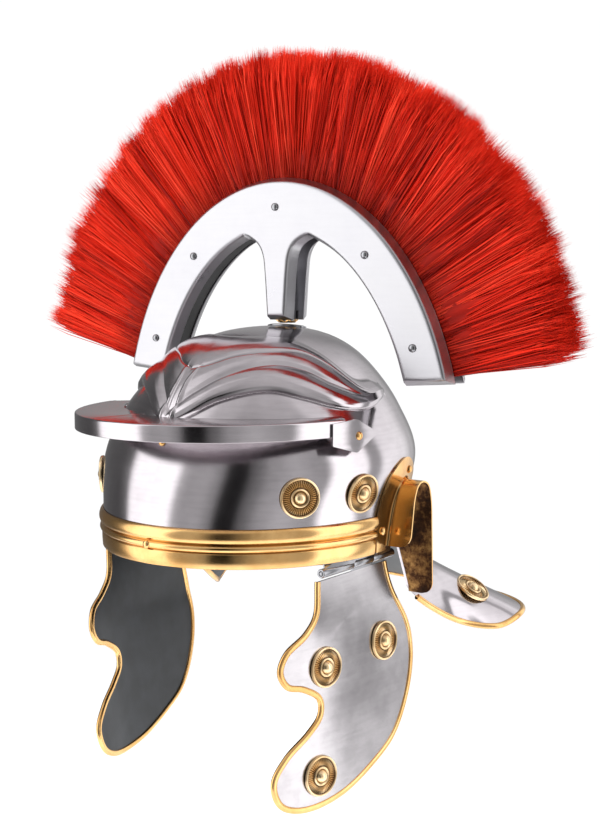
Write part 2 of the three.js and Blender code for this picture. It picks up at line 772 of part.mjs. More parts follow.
function browBand() {
  const outline = BAND_PROFILE.map((row) => new THREE.Vector2(row.out, row.rise * BAND_HEIGHT));
  [1, 0.66, 0.33, 0].forEach((rise) => outline.push(new THREE.Vector2(GAP, rise * BAND_HEIGHT)));
  const turns = TURNS.filter((turn) => Math.abs(turn) < BAND_END_ANGLE).sort((a, b) => a - b);
  const rings = [-BAND_END_ANGLE, ...turns, BAND_END_ANGLE].map((turn) =>
    outline.map((p) => {
      const z = BAND_LOW + p.y;
      const point = bowlPoint(turn, tiltAt(z));
      const outward = vec(point.x, point.y, 0).normalize();
      point.z = z;
      return point.addScaledVector(outward, p.x);
    }),
  );
  return sweep(rings, outline);
}

// Brow peak

function peakCrease(turn) {
  return vec(
    PEAK_HALF_WIDTH * Math.sin(rad(turn)),
    PEAK_CENTRE - PEAK_LENGTH * Math.cos(rad(turn)),
    PEAK_LEVEL,
  );
}

// The highest the brows stand near a turn, between the peak's underside and just above it.
function browReach(turn) {
  const heights = [PEAK_LEVEL - PEAK_PLATE, PEAK_LEVEL + GAP];
  const turns = [-5, -2.5, 0, 2.5, 5].map((step) => turn + step);
  return Math.max(...heights.flatMap((z) => turns.map((near) => browRaise(near, z))));
}

// The peak's section: share of the way from the bowl to the crease, then inset and drop from it.
function browPeak() {
  const section = [
    { share: 0, inset: 0, drop: 0 },
    { share: 1, inset: 0, drop: 0 },
    { share: 1, inset: 0, drop: PEAK_FLANGE },
    { share: 1, inset: PEAK_PLATE, drop: PEAK_FLANGE },
    { share: 1, inset: PEAK_PLATE, drop: PEAK_PLATE },
    { share: 0, inset: 0, drop: PEAK_PLATE },
  ];
  const outline = section.map(
    (row) => new THREE.Vector2(row.share * PEAK_FLANGE - row.inset, -row.drop),
  );
  const rings = Array.from({ length: PEAK_STEPS + 1 }, (_, i) => {
    const crease = peakCrease(PEAK_END_ANGLE * ((2 * i) / PEAK_STEPS - 1));
    const turn = THREE.MathUtils.radToDeg(Math.atan2(crease.x, -crease.y));
    const root = bowlPoint(turn, tiltAt(PEAK_LEVEL - PEAK_PLATE));
    const outward = vec(root.x, root.y, 0).normalize();
    root.addScaledVector(outward, browReach(turn) + PEAK_CLEAR);
    const across = crease.clone().sub(root).setZ(0);
    const width = across.length();
    across.normalize();
    return section.map((row) => {
      const point = root.clone().addScaledVector(across, row.share * width - row.inset);
      point.z = PEAK_LEVEL - row.drop;
      return point;
    });
  });
  return sweep(rings, outline);
}

// Line that the end plate follows in X: along the peak's rim, then in to the bowl.
function endPlateSide(y) {
  const share = clamp((y - PEAK_CENTRE) / PEAK_LENGTH, -1, 1);
  const rim = PEAK_HALF_WIDTH * Math.sqrt(1 - share * share);
  return Math.max(rim, bowlSide(y, END_PLATE_MIDDLE));
}

function endPlate() {
  const length = END_PLATE_BACK - END_PLATE_FRONT;
  const outline = END_PLATE_OUTLINE.map(
    (row) =>
      new THREE.Vector2(
        END_PLATE_FRONT + row.along * length,
        END_PLATE_MIDDLE + (row.rise * END_PLATE_TALL) / 2,
      ),
  );
  return sheet(outline, endPlateSide, GAP, GAP + PEAK_PLATE, 7);
}

// Crest holder, drawn in the X Z plane

function archPoint(turn, out) {
  const cosine = Math.cos(rad(turn));
  const sine = Math.sin(rad(turn));
  const normal = new THREE.Vector2(cosine / ARCH_HALF_WIDTH, sine / ARCH_RISE).normalize();
  const point = new THREE.Vector2(ARCH_HALF_WIDTH * cosine, ARCH_CENTRE + ARCH_RISE * sine);
  return point.addScaledVector(normal, out);
}

function archLine(from, to, steps, out) {
  return Array.from({ length: steps + 1 }, (_, i) =>
    archPoint(from + ((to - from) * i) / steps, out),
  );
}

function coverOutline() {
  const stemSide = (side) =>
    STEM.map((row) => new THREE.Vector2(side * STEM_HALF * row.half, STEM_FOOT + STEM_TALL * row.rise));
  return [
    ...archLine(ARCH_END_ANGLE, 180 - ARCH_END_ANGLE, 26, 0),
    ...archLine(180 - ARCH_INNER_ANGLE, 180 - ARCH_STEM_ANGLE, 8, -ARCH_BAND),
    ...stemSide(-1).reverse(),
    ...stemSide(1),
    ...archLine(ARCH_STEM_ANGLE, ARCH_INNER_ANGLE, 8, -ARCH_BAND),
  ];
}

// Stacks copies of an outline along Y, each grown by its own amount.
function stack(outline, levels) {
  const rings = levels.map(([grow, y]) => grown(outline, grow).map((p) => vec(p.x, y, p.y)));
  return sweep(rings, outline);
}

const CREST_MIDDLE = CREST_FACE + CREST_COVER + CREST_SLOT / 2;
const CREST_BACK = 2 * CREST_MIDDLE - CREST_FACE;

function rivetHoles(radius) {
  return CREST_RIVET_TURNS.map((turn) => {
    const at = archPoint(turn, -CREST_RIVET_IN);
    return rodAlongY(radius, at.x, at.y, CREST_FACE - MARGIN, CREST_BACK + MARGIN);
  });
}

function drilled(solid) {
  return rivetHoles(SHANK_RADIUS + GAP).reduce((rest, hole) => rest.subtract(hole), solid);
}

function crestCover(side) {
  const y = (depth) => CREST_MIDDLE + side * (CREST_MIDDLE - CREST_FACE - depth);
  const levels = [
    [0, y(0)],
    [0.62 * CREST_FLARE, y(0.26 * CREST_COVER)],
    [CREST_FLARE, y(CREST_COVER)],
  ];
  return drilled(stack(coverOutline(), levels));
}

function crestBlock() {
  const half = CREST_SLOT / 2 - GAP;
  const outline = [
    ...archLine(ARCH_END_ANGLE, 180 - ARCH_END_ANGLE, 22, CREST_FLARE - 1),
    ...archLine(180 - ARCH_INNER_ANGLE, ARCH_INNER_ANGLE, 18, 1 - ARCH_BAND - CREST_FLARE),
  ];
  return drilled(
    stack(outline, [
      [0, CREST_MIDDLE - half],
      [0, CREST_MIDDLE + half],
    ]),
  );
}

// A rivet through the crest, with a low dome at each end.
function crestRivet(turn) {
  const at = archPoint(turn, -CREST_RIVET_IN);
  const shank = rodAlongY(SHANK_RADIUS, at.x, at.y, CREST_FACE - 1, CREST_BACK + 1);
  const dome = (side) => {
    const head = geometryOf(lathe(RIVET_PROFILE, RIVET_RADIUS, 8));
    head.rotateX((side * Math.PI) / 2);
    const face = side > 0 ? CREST_FACE - GAP : CREST_BACK + GAP;
    return solidFrom(head.translate(at.x, face, at.y));
  };
  return shank.add(dome(1)).add(dome(-1));
}

function crestHair() {
  const stations = 2 * HAIR_LOCKS;
  const section = [];
  HAIR_SECTION.forEach((row) => section.push(new THREE.Vector2(row.out, row.half)));
  section.push(new THREE.Vector2(1.01, 0));
  [...HAIR_SECTION].reverse().forEach((row) => section.push(new THREE.Vector2(row.out, -row.half)));
  const rings = Array.from({ length: stations + 1 }, (_, i) => {
    const share = i / stations;
    const turn = ARCH_END_ANGLE + (180 - 2 * ARCH_END_ANGLE) * share;
    const aim = rad(HAIR_END_ANGLE + (180 - 2 * HAIR_END_ANGLE) * share);
    const root = archPoint(turn, CREST_FLARE - 1 + GAP);
    const ridge = i % 2 ? 1 : 0;
    const radius = HAIR_RADIUS - (ridge ? 0 : LOCK_STEP);
    const tip = new THREE.Vector2(
      radius * Math.cos(aim),
      HAIR_CENTRE + radius * Math.sin(aim),
    );
    return section.map((p) => {
      const at = root.clone().lerp(tip, p.x);
      const swell = p.x > 0.1 && !ridge ? LOCK_WAIST : 1;
      return vec(at.x, CREST_MIDDLE + HAIR_HALF * p.y * swell, at.y);
    });
  });
  return sweep(rings, section);
}

// Crest fitting on top of the bowl

function topPrism(halfWidth, halfLength, from, to) {
  const shape = new THREE.Shape().absellipse(0, 0, halfWidth, halfLength, 0, 2 * Math.PI);
  const geometry = new THREE.ExtrudeGeometry(shape, {
    depth: to - from,
    bevelEnabled: false,
    curveSegments: 8,
  });
  return solidFrom(geometry.translate(0, CREST_MIDDLE, from));
}

// A bent plate that lies on the bowl between two offsets.
function crestBasePlate() {
  const turns = Array.from({ length: 24 }, (_, i) => 15 * i);
  const ways = [0, 0.1, 0.2, 0.3, 0.42];
  const layer = (offset) => ways.map((way) => turns.map((turn) => skinLow(turn, way, offset)));
  const low = BOWL_HEIGHT - 4 * MARGIN;
  const prism = topPrism(BASE_HALF_WIDTH, BASE_HALF_LENGTH, low, BOWL_HEIGHT + MARGIN);
  return skinBetween(layer(GAP + BASE_PLATE), layer(GAP), true).intersect(prism);
}

function skinLow(turn, way, offset) {
  const point = bowlPoint(turn, 90 - (90 - SHOULDER_ANGLE) * way);
  const normal = skinNormal(turn > 180 ? turn - 360 : turn, way);
  return point.addScaledVector(normal, offset);
}

const BASE_TOP = BOWL_HEIGHT + GAP + BASE_PLATE;

// The post's room, grown by an amount on its four sides.
function post(amount, from, to) {
  const halfWidth = POST_HALF_WIDTH + amount;
  const halfDepth = CREST_SLOT / 2 - GAP + amount;
  return box(-halfWidth, halfWidth, CREST_MIDDLE - halfDepth, CREST_MIDDLE + halfDepth, from, to);
}

function crestWasher() {
  const low = BASE_TOP + GAP;
  const ring = topPrism(WASHER_RADIUS, WASHER_RADIUS, low, low + WASHER_TALL);
  return ring.subtract(post(GAP, low - MARGIN, low + MARGIN));
}

function crestFitting() {
  return post(0, BASE_TOP + GAP, POST_TOP);
}

// Places a small piece on a surface, its own Z along the surface's normal.
function seated(mesh, point, normal, lift) {
  mesh.position.copy(point).addScaledVector(normal, lift);
  mesh.quaternion.setFromUnitVectors(vec(0, 0, 1), normal.clone().normalize());
  return mesh;
}

function sideNormal(surface, y, z) {
  const small = 0.5;
  const alongY = (surface(y + small, z) - surface(y - small, z)) / (2 * small);
  const alongZ = (surface(y, z + small) - surface(y, z - small)) / (2 * small);
  return vec(1, -alongY, -alongZ).normalize();
}

function onBowlSide(mesh, y, z, lift) {
  return seated(mesh, vec(bowlSide(y, z), y, z), sideNormal(bowlSide, y, z), lift);
}

const rosette = () => lathe(ROSETTE_PROFILE, ROSETTE_RADIUS, 9);
const rivet = () => lathe(RIVET_PROFILE, RIVET_RADIUS, 8);

// Assembly
const helmet = new THREE.Group();
const hole = earHole();
const room = bowlRoom();
const mirrored = (solid) => solidFrom(geometryOf(solid).scale(-1, 1, 1));
const bowl = skinBetween(skinGrid(OUTER_WAYS, 0, true), skinGrid(INNER_WAYS, -PLATE, false), true);
helmet.add(piece("bowl", bowl.subtract(hole).subtract(mirrored(hole)), steel));
helmet.add(piece("brow_peak", browPeak(), steel));
helmet.add(piece("brow_band", browBand(), brass));

// Neck guard's rolled edge
function neckTrim() {
  const turns = Array.from({ length: 33 }, (_, i) => NECK_FRONT_ANGLE + ((180 - NECK_FRONT_ANGLE) * i) / 16);
  const signed = turns.map((turn) => (turn > 180 ? turn - 360 : turn));
  const line = signed.map((turn) => skinAt(turn, 2, -PLATE / 2, false));
  const edge = tube(new THREE.CatmullRomCurve3(line, false, "centripetal"), TRIM_RADIUS, 22, 6);
  const slotTurns = TURNS.filter((turn) => Math.abs(turn) > NECK_START_ANGLE);
  const ordered = slotTurns.map((turn) => (turn < 0 ? turn + 360 : turn)).sort((a, b) => a - b);
  const ways = [1.7, 1.8, 1.9, 2.003];
  const layer = (offset) =>
    ways.map((way) => ordered.map((turn) => skinAt(turn > 180 ? turn - 360 : turn, way, offset, false)));
  return edge.subtract(skinBetween(layer(GAP), layer(-PLATE - GAP), false));
}
helmet.add(piece("neck_trim", neckTrim(), brass));

// Front rivet of the band and the stud below the peak
const bandFront = vec(0, -RIM_FRONT, BAND_LOW + BAND_RIVET_RISE * BAND_HEIGHT);
const bandLift = Math.max(...BAND_PROFILE.map((row) => row.out)) + GAP;
helmet.add(seated(piece("brow_band_rivet", rivet(), brass), bandFront, vec(0, -1, 0), bandLift));
const studTilt = tiltAt(PEAK_LEVEL - 1.5 * PEAK_FLANGE);
const studWay = (90 - studTilt) / (90 - SHOULDER_ANGLE);
const studMesh = piece("peak_stud", rivet(), brass);
helmet.add(seated(studMesh, skinPoint(0, studWay), skinNormal(0, studWay), SEAT_LIFT));

// Pieces that stand in pairs, one on each side
function sidePieces(name, roomHere) {
  const side = new THREE.Group();
  side.add(piece("ear_guard_" + name, earGuard(hole, roomHere), brass));
  side.add(piece("hinge_leaf_" + name, hingeLeaf(), brightSteel));
  const pin = rodAlongY(PIN_RADIUS, HINGE_X, HINGE_Z, HINGE_FRONT, HINGE_BACK);
  side.add(piece("hinge_pin_" + name, pin, brightSteel));
  side.add(piece("peak_end_plate_" + name, endPlate(), steel));
  const plateRivet = piece("peak_end_rivet_" + name, rivet(), brass);
  const rivetY = THREE.MathUtils.lerp(END_PLATE_FRONT, END_PLATE_BACK, END_RIVET_ALONG);
  const surface = (y) => endPlateSide(y) + GAP + PEAK_PLATE;
  const at = vec(surface(rivetY), rivetY, END_PLATE_MIDDLE);
  side.add(seated(plateRivet, at, sideNormal(surface, rivetY, 0), GAP));
  LEAF_RIVETS.forEach((row) => {
    const mesh = piece(`ear_rivet_${row.name}_${name}`, rivet(), brass);
    const lift = GAP + EAR_WALL + SEAT_LIFT;
    side.add(onBowlSide(mesh, row.along * LEAF_LENGTH, row.rise * LEAF_TALL, lift));
  });
  BOWL_ROSETTES.forEach((row) => {
    const mesh = piece(`bowl_rosette_${row.name}_${name}`, rosette(), brass);
    side.add(onBowlSide(mesh, row.reach * RIM_FRONT, row.rise * BOWL_HEIGHT, SEAT_LIFT));
  });
  const neck = piece("neck_rosette_" + name, rosette(), brass);
  const { turn, way } = NECK_ROSETTE;
  side.add(seated(neck, skinPoint(turn, way), skinNormal(turn, way), 2 * GAP));
  return side;
}

function cheek(name, hang) {
  const guard = new THREE.Group();
  guard.position.set(HINGE_X, 0, HINGE_Z);
  guard.rotation.y = -rad(hang);
  guard.add(piece("cheek_guard_" + name, cheekGuard(), steel));
  guard.add(piece("cheek_trim_" + name, cheekTrim(), brass));
  GUARD_ROSETTES.forEach((row, i) => {
    const y = GUARD_REACH * row.reach;
    const z = -GUARD_LENGTH * row.drop;
    const mesh = piece(`cheek_rosette_${name}_${i + 1}`, rosette(), brass);
    const normal = sideNormal(guardBow, y, z);
    guard.add(seated(mesh, vec(guardBow(y, z), y, z), normal, GUARD_PLATE / 2 + SEAT_LIFT));
  });
  return guard;
}

const leftSide = sidePieces("left", room);
leftSide.add(cheek("left", LEFT_HANG_ANGLE));
const rightSide = sidePieces("right", mirrored(room));
rightSide.add(cheek("right", RIGHT_HANG_ANGLE));
rightSide.scale.x = -1;
helmet.add(leftSide, rightSide);

// Crest
helmet.add(piece("crest_cover", crestCover(-1), brightSteel));
helmet.add(piece("crest_back", crestCover(1), brightSteel));
helmet.add(piece("crest_block", crestBlock(), paintedWood));
CREST_RIVET_TURNS.forEach((turn, i) => {
  helmet.add(piece(`crest_rivet_${i + 1}`, crestRivet(turn), brightSteel));
});
helmet.add(piece("crest_hair", crestHair(), redHair));
helmet.add(piece("crest_base_plate", crestBasePlate(), brightSteel));
helmet.add(piece("crest_washer", crestWasher(), brass));
helmet.add(piece("crest_fitting", crestFitting(), brightSteel));

export default helmet;
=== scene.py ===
"""A Roman legionary helmet: polished steel, brass trim and an upright crest of red bristle.

Lengths in the tables are millimetres. +Z is up, the face looks along -Y, the wearer's left is +X.
"""
import math

import bmesh
import bpy
import numpy as np
from bpy.props import FloatProperty, FloatVectorProperty, IntProperty, PointerProperty
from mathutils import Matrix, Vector
from mathutils.geometry import delaunay_2d_cdt, tessellate_polygon


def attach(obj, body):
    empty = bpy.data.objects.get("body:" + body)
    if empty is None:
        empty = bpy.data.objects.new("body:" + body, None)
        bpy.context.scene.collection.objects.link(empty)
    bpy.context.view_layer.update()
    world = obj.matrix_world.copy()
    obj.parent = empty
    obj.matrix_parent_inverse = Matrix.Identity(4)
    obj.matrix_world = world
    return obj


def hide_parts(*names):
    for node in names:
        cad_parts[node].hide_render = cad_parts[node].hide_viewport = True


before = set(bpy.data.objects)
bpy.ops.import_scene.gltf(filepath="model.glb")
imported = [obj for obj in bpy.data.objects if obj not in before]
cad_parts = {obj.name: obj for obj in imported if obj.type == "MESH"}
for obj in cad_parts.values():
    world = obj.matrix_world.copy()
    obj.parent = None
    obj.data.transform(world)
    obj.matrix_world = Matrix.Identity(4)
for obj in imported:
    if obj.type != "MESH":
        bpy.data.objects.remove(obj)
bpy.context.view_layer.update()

bl_info = {
    "name": "Roman legionary helmet",
    "version": (1, 0, 0),
    "blender": (4, 5, 0),
    "location": "View3D > Sidebar > Helmet",
    "description": "Builds the helmet's steel, brass and bristle pieces on the packed model",
    "category": "Object",
}

MM = 0.001
SIDES = {"left": np.array((1, 1, 1)), "right": np.array((-1, 1, 1))}


def unit(vectors):
    """The same directions at length one."""
    return vectors / np.linalg.norm(vectors, axis=-1, keepdims=True)


def table(columns, *rows):
    """Named columns of numbers from short rows."""
    return dict(zip(columns.split(), np.array(rows, dtype=float).T))


# Bowl
BOWL_HEIGHT = 157.0
RIM_HALF_WIDTH = 106.5
RIM_FRONT = 116.0
RIM_BACK = 112.0
APEX_SET_BACK = 26.0
PLATE = 1.6
GAP = 0.3
SHOULDER_TILT = 13.0
BOWL_SECTIONS = table(
    "tilt width front back",
    (0, 1, 1, 1),
    (9.9, 1.02, 1.006, 1.07),
    (24.5, 1.07, 0.966, 1.13),
    (39, 0.94, 0.885, 0.95),
    (52.7, 0.745, 0.742, 0.748),
    (65.6, 0.54, 0.554, 0.53),
    (77.2, 0.325, 0.354, 0.285),
    (90, 0, 0, 0),
)

# Raised brows, as shares of the bowl's height at each turn from the front
BROW_RAISE = 5.5
BROW_END = 107.0
BROW_FADE = 11.0
BROWS = table(
    "turn low groove crease top",
    (0, 0.573, 0.643, 0.809, 0.962),
    (8, 0.624, 0.72, 0.828, 0.962),
    (20, 0.694, 0.796, 0.863, 0.962),
    (38, 0.732, 0.831, 0.879, 0.959),
    (55, 0.7, 0.809, 0.873, 0.943),
    (70, 0.656, 0.745, 0.815, 0.885),
    (85, 0.643, 0.688, 0.72, 0.777),
    (98, 0.672, 0.7, 0.72, 0.761),
    (106, 0.7, 0.71, 0.72, 0.745),
    (125, 0.64, 0.7, 0.78, 0.86),
    (150, 0.52, 0.66, 0.8, 0.93),
    (180, 0.5, 0.65, 0.8, 0.93),
)

# Neck guard's edge as shares of its half width, reach and drop
NECK_HALF_WIDTH = 147.0
NECK_REACH = 191.0
NECK_DROP = 74.0
NECK_SAG = 14.0
NECK_START = 102.0
NECK_FRONT = 118.0
NECK_EDGE = table(
    "turn side back drop",
    (102, 0.7, 0.12, 0.02),
    (110, 0.71, 0.2, 0.27),
    (118, 0.73, 0.314, 0.58),
    (128, 0.823, 0.513, 0.905),
    (138, 0.952, 0.654, 1),
    (146, 1, 0.775, 0.92),
    (154, 0.925, 0.89, 0.89),
    (163, 0.714, 0.963, 0.865),
    (172, 0.374, 0.995, 0.85),
    (180, 0, 1, 0.84),
)

# Brow band: height, and how far each line of it stands off the bowl
BAND_HEIGHT = 27.0
BAND_LOW = -0.5
BAND_TURN = 89.6
BAND_PROFILE = table(
    "rise out",
    (0, 1.3), (0.02, 1.7), (0.2, 1.75), (0.36, 1.6), (0.385, 1.2), (0.4, 0.8), (0.42, 1.2),
    (0.45, 2.3), (0.48, 2.8), (0.51, 2.95), (0.54, 2.8), (0.57, 2.3), (0.595, 1.2),
    (0.61, 0.8), (0.63, 1.4), (0.68, 2.5), (0.74, 3.05), (0.8, 3.2), (0.86, 3.0),
    (0.92, 2.5), (0.96, 1.9), (0.985, 1.3), (1, 0.8),
)

# Brow peak and its end plates
PEAK_LEVEL = 98.9
PEAK_HALF_WIDTH = 112.0
PEAK_LENGTH = 128.0
PEAK_CENTRE = -16.0
PEAK_FLANGE = 11.5
PEAK_TURN = 79.0
PEAK_PLATE = 1.5
PEAK_CLEAR = 1.0
END_PLATE_FRONT = -53.0
END_PLATE_BACK = -8.0
END_PLATE_TALL = 23.0
END_PLATE_MIDDLE = 86.9

# Ear guards
EAR_OUT = 126.0
EAR_WALL = 1.2
EAR_CENTRE = 35.5
EAR_HALF = 13.5
EAR_TOP = 48.5
EAR_FILLET = 2.6
EAR_CORNER = 9.0
EAR_ARCH = table(
    "side rise",
    (-1.3, 0.05), (-1.08, 0.42), (-0.82, 0.8), (-0.46, 0.965), (0.02, 1), (0.52, 0.93),
    (0.8, 0.72), (0.93, 0.2), (1.04, -0.76),
)
LEAF_LENGTH = 60.0
LEAF_TALL = 65.0
LEAF_OUTLINE = table(
    "along rise",
    (0.03, 0), (0.01, 0.46), (0.15, 0.83), (0.54, 1), (0.77, 0.95), (0.96, 0.77), (1, 0.42),
    (0.98, 0),
)

# Hinges and cheek guards
HINGE_X = 98.0
HINGE_Z = -6.5
HINGE_FRONT = -51.8
HINGE_BACK = 36.9
KNUCKLE_FRONT = -15.5
KNUCKLE_BACK = 9.5
KNUCKLE_PLAY = 0.15
BARREL_RADIUS = 3.2
PIN_RADIUS = 1.5
HINGE_LEAF_TALL = 20.0
HANG = {"left": 3.0, "right": -9.6}
GUARD_REACH = 100.0
GUARD_LENGTH = 156.0
GUARD_PLATE = 1.4
GUARD_BOW_DROP = 60.0
GUARD_OUTLINE = table(
    "reach drop",
    (-0.56, 0.03), (-0.6, 0.17), (-0.71, 0.245), (-0.87, 0.31), (-0.92, 0.385),
    (-0.87, 0.45), (-0.74, 0.48), (-0.61, 0.54), (-0.61, 0.61), (-0.72, 0.68), (-0.9, 0.76),
    (-1.01, 0.85), (-0.97, 0.95), (-0.82, 1), (-0.46, 0.99), (-0.12, 0.915), (0.14, 0.82),
    (0.32, 0.65), (0.39, 0.48), (0.36, 0.32), (0.28, 0.165), (0.26, 0.03),
)
GUARD_BOW = table(
    "reach out",
    (-1.05, -0.11), (-0.92, -0.075), (-0.62, 0.01), (-0.2, 0.07), (0.41, 0.12), (0.6, 0.13),
)
GUARD_ROSETTES = ((-0.55, 0.405), (0.07, 0.37), (-0.64, 0.875))
TRIM_RADIUS = 2.3

# Places of the stampings: Y and Z on the skull's side, and the neck rosette's turn and way
SKULL_ROSETTES = ((-66, 47), (-20, 46))
NECK_ROSETTE = (145.4, 1.864)
EAR_RIVETS = ((8.8, 15), (41, 55.5))

# Crest holder and hair
CREST_FACE = 26.0
CREST_COVER = 9.0
CREST_SLOT = 12.0
CREST_FLARE = 5.0
CREST_MIDDLE = CREST_FACE + CREST_COVER + CREST_SLOT / 2
ARCH_HALF_WIDTH = 153.0
ARCH_RISE = 202.0
ARCH_CENTRE = 60.5
ARCH_BAND = 30.0
ARCH_END = 18.3
ARCH_INNER_END = 20.0
ARCH_STEM_TURN = 72.0
STEM_FOOT = 166.0
STEM_TALL = 62.0
STEM_HALF = 30.0
STEM = table(
    "rise half",
    (0, 0.22), (0.52, 0.3), (0.7, 0.35), (0.83, 0.47), (0.92, 0.67), (0.985, 1),
)
CREST_RIVET_IN = 17.0
CREST_RIVET_TURNS = (26.3, 52.8, 90.0, 127.2, 153.7)
HAIR_RADIUS = 247.0
HAIR_CENTRE = 116.0
HAIR_END = 7.0
HAIR_END_RIGHT = 9.5
HAIR_HALF = 18.0
HAIR_TIP_SHARE = 0.96
BASE_PLATE = 1.2
BASE_HALF_WIDTH = 16.5
BASE_HALF_LENGTH = 11.0

# The camera stands 1 m away, a little above the rim and to the wearer's left
CAMERA_PLACE = (0.61619, -0.78226, 0.19932)
CAMERA_TARGET = (0.0277, 0.0200, 0.0876)
CAMERA_LENS = 57.6
CAMERA_TURN = 36.26


# Curves and surfaces


def through(rows, key, column, at):
    """Smooth curve through a table's rows, level with the solids' own."""
    x, y = rows[key], rows[column]
    at = np.asarray(at, dtype=float)
    slope = np.empty_like(y)
    slope[1:-1] = (y[2:] - y[:-2]) / (x[2:] - x[:-2])
    slope[0] = (y[1] - y[0]) / (x[1] - x[0])
    slope[-1] = (y[-1] - y[-2]) / (x[-1] - x[-2])
    i = np.clip(np.searchsorted(x, at) - 1, 0, len(x) - 2)
    span = x[i + 1] - x[i]
    u = np.clip((at - x[i]) / span, 0, 1)
    ease = u * u * (3 - 2 * u)
    bend = span * u * (1 - u) * ((1 - u) * slope[i] - u * slope[i + 1])
    return y[i] + (y[i + 1] - y[i]) * ease + bend


def bowl_radii(tilt):
    """The bowl's half width and its reach to the front and to the back at a tilt."""
    shares = (through(BOWL_SECTIONS, "tilt", column, tilt) for column in ("width", "front", "back"))
    return [share * size for share, size in zip(shares, (RIM_HALF_WIDTH, RIM_FRONT, RIM_BACK))]


def bowl_point(turn, tilt):
    """Point of the plain bowl at a turn from the front and a tilt above the rim."""
    turn, tilt = np.broadcast_arrays(np.asarray(turn, float), np.asarray(tilt, float))
    rise = np.sin(np.radians(tilt))
    sine, cosine = np.sin(np.radians(turn)), np.cos(np.radians(turn))
    width, front, back = bowl_radii(tilt)
    width = np.maximum(width, 1e-4 * RIM_HALF_WIDTH)
    reach = np.maximum(np.where(cosine > 0, front, back), 1e-4)
    radius = np.where(tilt > 89.9, 0, 1 / np.hypot(sine / width, cosine / reach))
    middle = APEX_SET_BACK * rise * rise
    return np.stack([radius * sine, middle - radius * cosine, BOWL_HEIGHT * rise], -1)


def tilt_at(z):
    """Tilt above the rim at which the bowl reaches a height."""
    return np.degrees(np.arcsin(np.clip(np.asarray(z, float) / BOWL_HEIGHT, 0, 1)))


def bowl_side(y, z):
    """Half width of the bowl's side over a place in the Y Z plane."""
    tilt = tilt_at(z)
    rise = np.sin(np.radians(tilt))
    across = np.asarray(y, float) - APEX_SET_BACK * rise * rise
    width, front, back = bowl_radii(tilt)
    share = across / np.where(across < 0, front, back)
    return width * np.sqrt(np.maximum(1 - share * share, 0))


def step(low, high, at):
    """Smooth step from 0 at low to 1 at high."""
    share = np.clip((at - low) / (high - low), 0, 1)
    return share * share * (3 - 2 * share)


# Section of a brow from its low line to its top line: at counts lines, high is a share of the raise
BROW_SECTION = table(
    "at high",
    (0, 0), (0.05, 0.5), (0.12, 0.72), (0.3, 0.92), (0.55, 1), (0.8, 0.86), (0.94, 0.68),
    (1, 0.63), (1.06, 0.67), (1.25, 0.82), (1.6, 0.94), (1.9, 0.92), (1.97, 0.84),
    (2, 0.76), (2.03, 0.86), (2.15, 0.95), (2.45, 0.9), (2.75, 0.62), (2.93, 0.34),
    (2.98, 0.16), (3, 0),
)
# Past these turns the three rolls run into one smooth lobe
BROW_LOBE = (66.0, 92.0)
LOBE_SECTION = table("at high", (0, 0), (0.1, 0.5), (0.4, 0.85), (1.2, 1), (2, 0.85), (2.7, 0.5), (3, 0))
# Two thin ridges stand beside the middle of the brows and part like a Y at the top
RIDGE_OUT = 4.4
RIDGE_RAISE = 1.1
RIDGE_HALF = 1.0
RIDGE_FOOT = 0.6
RIDGE_TOP = 0.85
RIDGE_RADIUS = 0.85 * RIM_FRONT
FORK_RISE = 0.76
FORK_SPREAD = 70.0
FORK_BEND = 1.2


def brow_lines(side):
    """Heights of a brow's low line, groove, crease and top line at a turn."""
    return [BOWL_HEIGHT * through(BROWS, "turn", line, side) for line in ("low", "groove", "crease", "top")]


def brow_raise(turn, z):
    """How far the three rolls of each brow stand out of the bowl."""
    turn, z = np.broadcast_arrays(np.asarray(turn, float), np.asarray(z, float))
    side = np.abs(turn)
    lines = brow_lines(side)
    at = sum(np.clip((z - low) / (high - low), 0, 1) for low, high in zip(lines, lines[1:]))
    rolls = np.interp(at, BROW_SECTION["at"], BROW_SECTION["high"])
    lobe = np.interp(at, LOBE_SECTION["at"], LOBE_SECTION["high"])
    mix = step(*BROW_LOBE, side)
    fade = np.sqrt(np.clip((BROW_END - side) / BROW_FADE, 0, 1))
    raised = BROW_RAISE * fade * (rolls * (1 - mix) + lobe * mix)
    rise = z / BOWL_HEIGHT
    across = np.radians(side) * RIDGE_RADIUS
    fork = RIDGE_OUT + FORK_SPREAD * np.maximum(rise - FORK_RISE, 0) ** FORK_BEND
    ridge = np.exp(-(((across - fork) / RIDGE_HALF) ** 2))
    ends = step(RIDGE_FOOT - 0.02, RIDGE_FOOT, rise) * (1 - step(FORK_RISE, RIDGE_TOP, rise))
    return raised + RIDGE_RAISE * ridge * ends


def neck_edge(side):
    """Edge of the neck guard at a turn."""
    return np.stack(
        [
            NECK_HALF_WIDTH * through(NECK_EDGE, "turn", "side", side),
            NECK_REACH * through(NECK_EDGE, "turn", "back", side),
            -NECK_DROP * through(NECK_EDGE, "turn", "drop", side),
        ],
        -1,
    )


